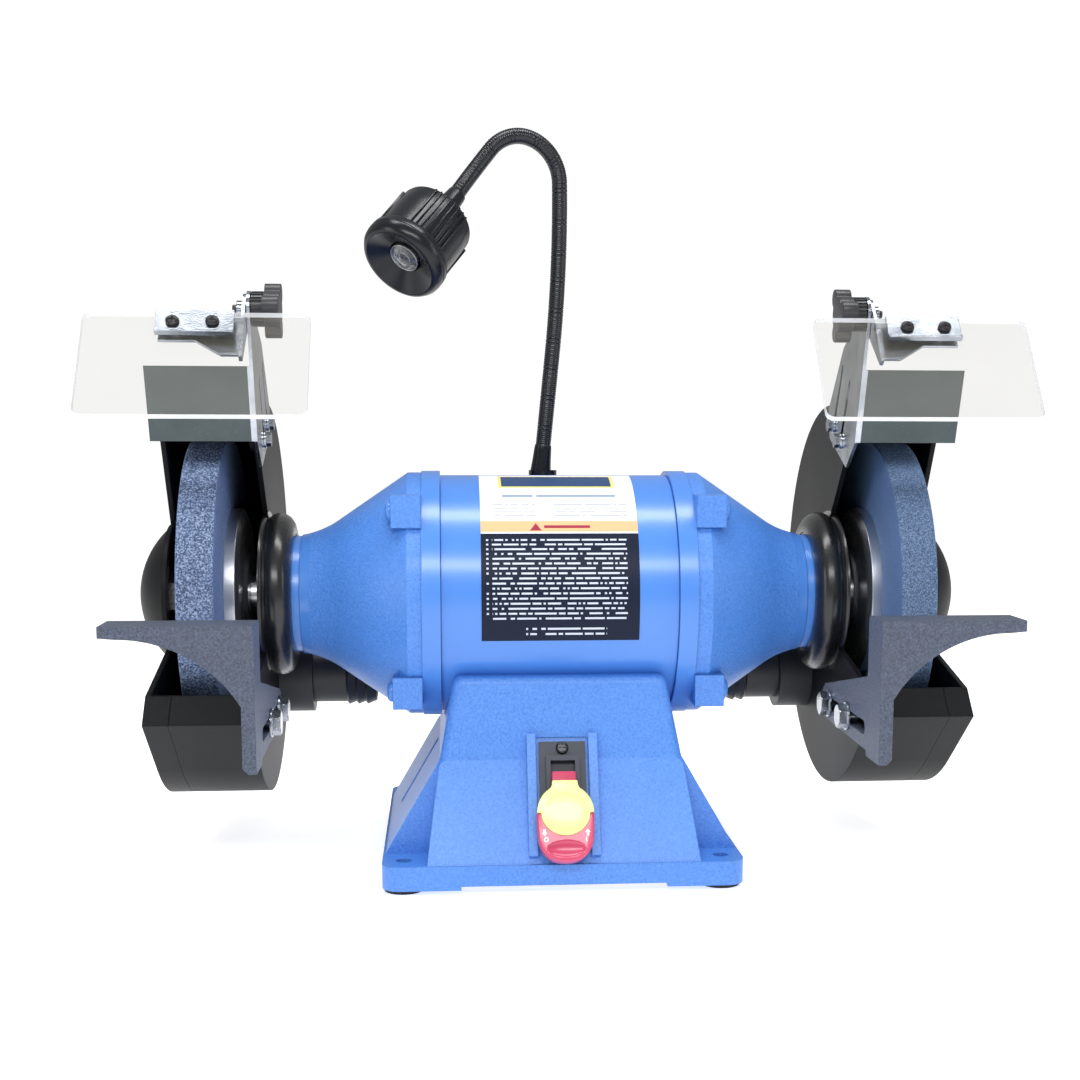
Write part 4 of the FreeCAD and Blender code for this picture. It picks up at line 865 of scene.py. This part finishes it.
# %% Foot and boot
foot = lathe("foot", [
    (0, -14), (9.4, -14), (9.1, -9), (8.6, -3), (7.9, 5), (7.4, 13), (7.0, 17), (6.0, 17.6), (0, 17.6)])
piece("lamp_foot", rounded(foot, 0.6), lamp_black, "lamp_stem",
      place=along(ROOT - STEM_WAY * 0.012, STEM_WAY))
boot = lathe("boot", [
    (0, -5), (6.6, -5), (7.6, -4.2), (7.9, -2), (8.5, 6), (9.4, 13), (10.4, 19), (11.0, 23),
    (11.3, 25), (11.3, 27), (10.2, 30), (7, 33), (0, 35)])
piece("lamp_boot", boot, lamp_black, "lamp_upper",
      place=along(boot_start, HEAD_WAY), crease=50)

# %% [markdown]
# ## The lamp's head
#
# The case is a deep cup with a flat back and three groups of fine ribs with smooth wall between them,
# closed by a wider bezel with a soft bevel. Turned profiles make the smooth shapes,
# the rib recipe makes the ribs, and the small lens sits deep in the dark bowl with two bright rings.

# %% Lamp case and ribs
head_place = along(HEAD, HEAD_WAY)
MIDDLE_OF_RIBS = 0.0258
case = lathe("case", [
    (0, 2.6), (26, 2.6), (29.8, 3.0), (31.2, 4.0), (31.8, 5.8), (32.2, 20),
    (32.4, 47.6), (29, 47.6), (29, 30), (0, 30)], 128)
ribs = rib_ring.cook(line_mesh("rib_seed", SEED), lamp_black, {
    "Count": 45, "Radius": 0.0321, "Width": 0.0017, "Height": 0.0036, "Length": 0.0410,
    "Group": 15, "Kept": 8})
ribs = rounded(ribs, 0.5, 2)
ribs.transform(Matrix.Translation((0, 0, MIDDLE_OF_RIBS)))
piece("lamp_case", together("lamp_case", case, ribs), lamp_black, "lamp_lamp", ["lamp_head"],
      head_place)

# %% Bezel, lens and rings
bezel = lathe("bezel", [
    (32.6, 46.6), (34.7, 47.0), (35.3, 48.0), (35.5, 52.4), (35.0, 52.9), (35.0, 53.5), (35.5, 54.0),
    (35.0, 57.5), (32.6, 61.4), (31.0, 62.4), (29.4, 62.5), (28.2, 61.8), (15.0, 53.2),
    (13.8, 52.6), (13.8, 50), (20, 46.6), (32.6, 46.6)], 128)
piece("lamp_bezel_ring", bezel, lamp_black, "lamp_lamp", ["lamp_bezel"], head_place)
lens = lathe("lens", [(0, 50), (11.4, 50), (11.4, 53.2), (9.4, 53.7), (6.2, 55.0), (3, 55.6), (0, 55.8)])
piece("lamp_lens_glass", lens, lens_clear, "lamp_lamp", ["lamp_lens"], head_place)
rings = [
    lathe("ring", [
        (inner, 52.2), (inner + 0.3, height), (outer - 0.3, height), (outer, 52.2), (inner, 52.2)], 96)
    for inner, outer, height in ((11.4, 12.5, 55.0), (5.4, 6.2, 56.2))]
piece("lamp_rings", together("lamp_rings", *rings), turned, "lamp_lamp", place=head_place)

# %% [markdown]
# ## The safety switch
#
# A red paddle hangs in front of the switch, and a pale yellow disc is its key.
# The paddle's outline is a cup round the lower half of the disc, with a finger scoop near its foot.
# The cup is an outline given thickness, rounded, and then carved by the disc's seat and the scoop.

# %% The paddle
SWITCH_LEAN = 25  # degrees back from upright
switch_turn = Matrix.Rotation(math.radians(90 - SWITCH_LEAN), 4, "X")
switch_place = Matrix.Translation((0, -0.103, 0.112)) @ switch_turn
DISC_Y, DISC_R, SEAT_R, SEAT_DEEP = -62, 21.6, 18.5, 17.4
SCOOP_R = 15.0


def cup_outline():
    """The paddle's outline: straight sides that close into a round foot."""
    half = [(21.9, -61.6), (21.8, -66), (21.5, -73)]
    for step in range(13):
        angle = math.radians(90 * step / 12)
        half.append((21.1 * math.cos(angle) ** 0.85, -79 - 20.5 * math.sin(angle) ** 0.95))
    return half + [(-x, y) for x, y in reversed(half[:-1])]


cup = rounded(slab("cup", cup_outline(), 7, 20.5), 1.6, 4)
seat = lathe("seat", [(0, 14), (SEAT_R + 0.3, 14), (SEAT_R + 0.3, 30), (0, 30)])
seat.transform(Matrix.Translation((0, DISC_Y * MM, 0)) @ Matrix.Diagonal((1, SEAT_DEEP / SEAT_R, 1, 1)))
scoop = lathe("scoop", [
    (SCOOP_R * math.cos(math.radians(angle)) * (abs(angle) < 90), SCOOP_R * math.sin(math.radians(angle)))
    for angle in range(-90, 91, 6)], 64)
scoop.transform(Matrix.Translation((0, -0.0895, 0.0205)) @ Matrix.Diagonal((1, 0.44, 0.2, 1)))
tongue = rounded(slab("tongue", [(-9.2, -62), (9.2, -62), (9.2, -28.5), (-9.2, -28.5)], 6.4, 14.2), 1.2)
paddle = together("paddle", cut(cup, seat, scoop), tongue)
piece("switch_paddle_cup", paddle, paddle_red, "paddle", ["switch_paddle"], switch_place, 28)

# %% The key disc
def disc_outline():
    """A disc with a short neck at the top."""
    right = [(9.6, -37.5), (9.8, -40.5), (10.6, -42.6)]
    for degrees in range(60, -1, -5):
        angle = math.radians(degrees)
        right.append((DISC_R * math.cos(angle), DISC_Y + DISC_R * math.sin(angle)))
    for degrees in range(0, 91, 6):
        angle = math.radians(degrees)
        right.append((SEAT_R * math.cos(angle), DISC_Y - 0.4 - SEAT_DEEP * math.sin(angle)))
    return right + [(-x, y) for x, y in reversed(right[:-1])]


disc = rounded(slab("disc", disc_outline(), 14.6, 22.4), 1.3, 4)
dome = lathe("dome", [(0, 21), (17.0, 21), (17.0, 22.3), (15.5, 22.6), (11, 22.95), (6, 23.1), (0, 23.15)])
dome.transform(Matrix.Translation((0, DISC_Y * MM, 0)) @ Matrix.Diagonal((1, 0.94, 1, 1)))
piece("switch_key_disc", together("key", disc, dome), disc_yellow, "key", ["switch_key"],
      switch_place, 28)

# %% [markdown]
# The paddle's two marks say which way is off and which is on. They are the plain arrows with
# a ring and a bar, moulded a hair above the face.

# %% Paddle marks
MARK_LOW, MARK_HIGH = 20.3, 20.62


def arrow(x, y, up):
    tips = [(-0.9, -2.6), (0.9, -2.6), (0.9, 0), (2.1, 0), (0, 2.6), (-2.1, 0), (-0.9, 0)]
    return slab("arrow", [(x + dx, y + up * dy) for dx, dy in tips], MARK_LOW, MARK_HIGH)


off_ring = lathe("off_ring", [
    (1.1, MARK_LOW), (1.1, MARK_HIGH), (1.8, MARK_HIGH), (1.8, MARK_LOW), (1.1, MARK_LOW)], 32)
off_ring.transform(Matrix.Translation((-0.0152, -0.0828, 0)))
on_bar = slab("on_bar", [(14.8, -84.6), (15.6, -84.6), (15.6, -81.0), (14.8, -81.0)], MARK_LOW, MARK_HIGH)
piece("switch_marks", together("marks", arrow(-16.4, -77.5, -1), arrow(16.4, -77.5, 1), off_ring, on_bar),
      mark_white, "paddle", place=switch_place)

# %% [markdown]
# ## The guards' hubs
#
# Where each guard meets the motor's neck its casting swells into a fat round collar with a narrow
# groove behind it. The collar is one turned profile, laid over the hub and given the guard's own enamel.

# %% Guard collars
COLLAR = [
    (49.6, 210.8), (54.6, 210.9), (58.8, 212.0), (62.6, 214.4), (65.1, 217.8), (66.2, 221.8), (66.0, 225.6),
    (64.9, 228.6), (63.2, 230.6), (62.3, 231.3), (62.3, 232.4), (63.6, 233.2), (64.8, 234.6), (65.0, 236.1),
    (52.0, 236.1), (49.6, 230.0), (49.6, 210.8)]
SIDES = (("right", 1), ("left", -1))
for side, sign in SIDES:
    piece(f"guard_collar_{side}", lathe("collar", COLLAR, 128), guard_black, "machine",
          place=along((0, 0, SHAFT_Z), (sign, 0, 0)), crease=50)

# %% [markdown]
# ## The knobs
#
# Each shield is clamped by a three-lobed knob. The CAD knob has the right form but hard edges,
# so a merged copy is bevelled, and the rib recipe rings its hub with grips.

# %% Rounded knobs
def merged_copy(node):
    """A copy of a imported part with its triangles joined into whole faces."""
    work = bmesh.new()
    work.from_mesh(nodes[node].data)
    bmesh.ops.remove_doubles(work, verts=work.verts, dist=2e-6)
    bmesh.ops.dissolve_limit(work, angle_limit=math.radians(1), verts=work.verts, edges=work.edges)
    mesh = bpy.data.meshes.new(node + "_copy")
    work.to_mesh(mesh)
    work.free()
    return mesh


KNOB_HUB_X, KNOB_Y, KNOB_Z = 0.2243, -0.110, 0.438
for side, sign in SIDES:
    grips = rib_ring.cook(line_mesh("grip_seed", SEED), knob_black, {
        "Count": 26, "Radius": 0.012, "Width": 0.0015, "Height": 0.0016, "Length": 0.0082,
        "Group": 1, "Kept": 1})
    grips.transform(along((sign * KNOB_HUB_X, KNOB_Y, KNOB_Z), (1, 0, 0)))
    grip_and_knob = together("knob", rounded(merged_copy(f"shield_knob_{side}"), 1.4, 3, 40), grips)
    piece(f"clamp_knob_{side}", grip_and_knob, knob_black, f"knob_{side}",
          [f"shield_knob_{side}"])

# %% [markdown]
# ## The floor
#
# A plain pale floor takes the soft shadow under the feet. It glows a little, so that it stays
# nearly white out to the horizon.

# %% The floor
floor_finish = Finish("studio_floor", roughness=0.7, emission_strength=0.66)
floor_finish.shader.inputs["Emission Color"].default_value = (1, 1, 1, 1)
floor_tone = floor_finish.noise(1.5)
floor_finish.feed("Base Color", floor_finish.mix((0.86, 0.86, 0.86), (0.90, 0.90, 0.90), floor_tone))
floor_mesh = bpy.data.meshes.new("studio_floor")
floor_mesh.from_pydata([(-12, -12, 0), (12, -12, 0), (12, 12, 0), (-12, 12, 0)], [], [(0, 1, 2, 3)])
floor_mesh.materials.append(floor_finish.material)
floor = bpy.data.objects.new("studio_floor", floor_mesh)
bpy.context.scene.collection.objects.link(floor)
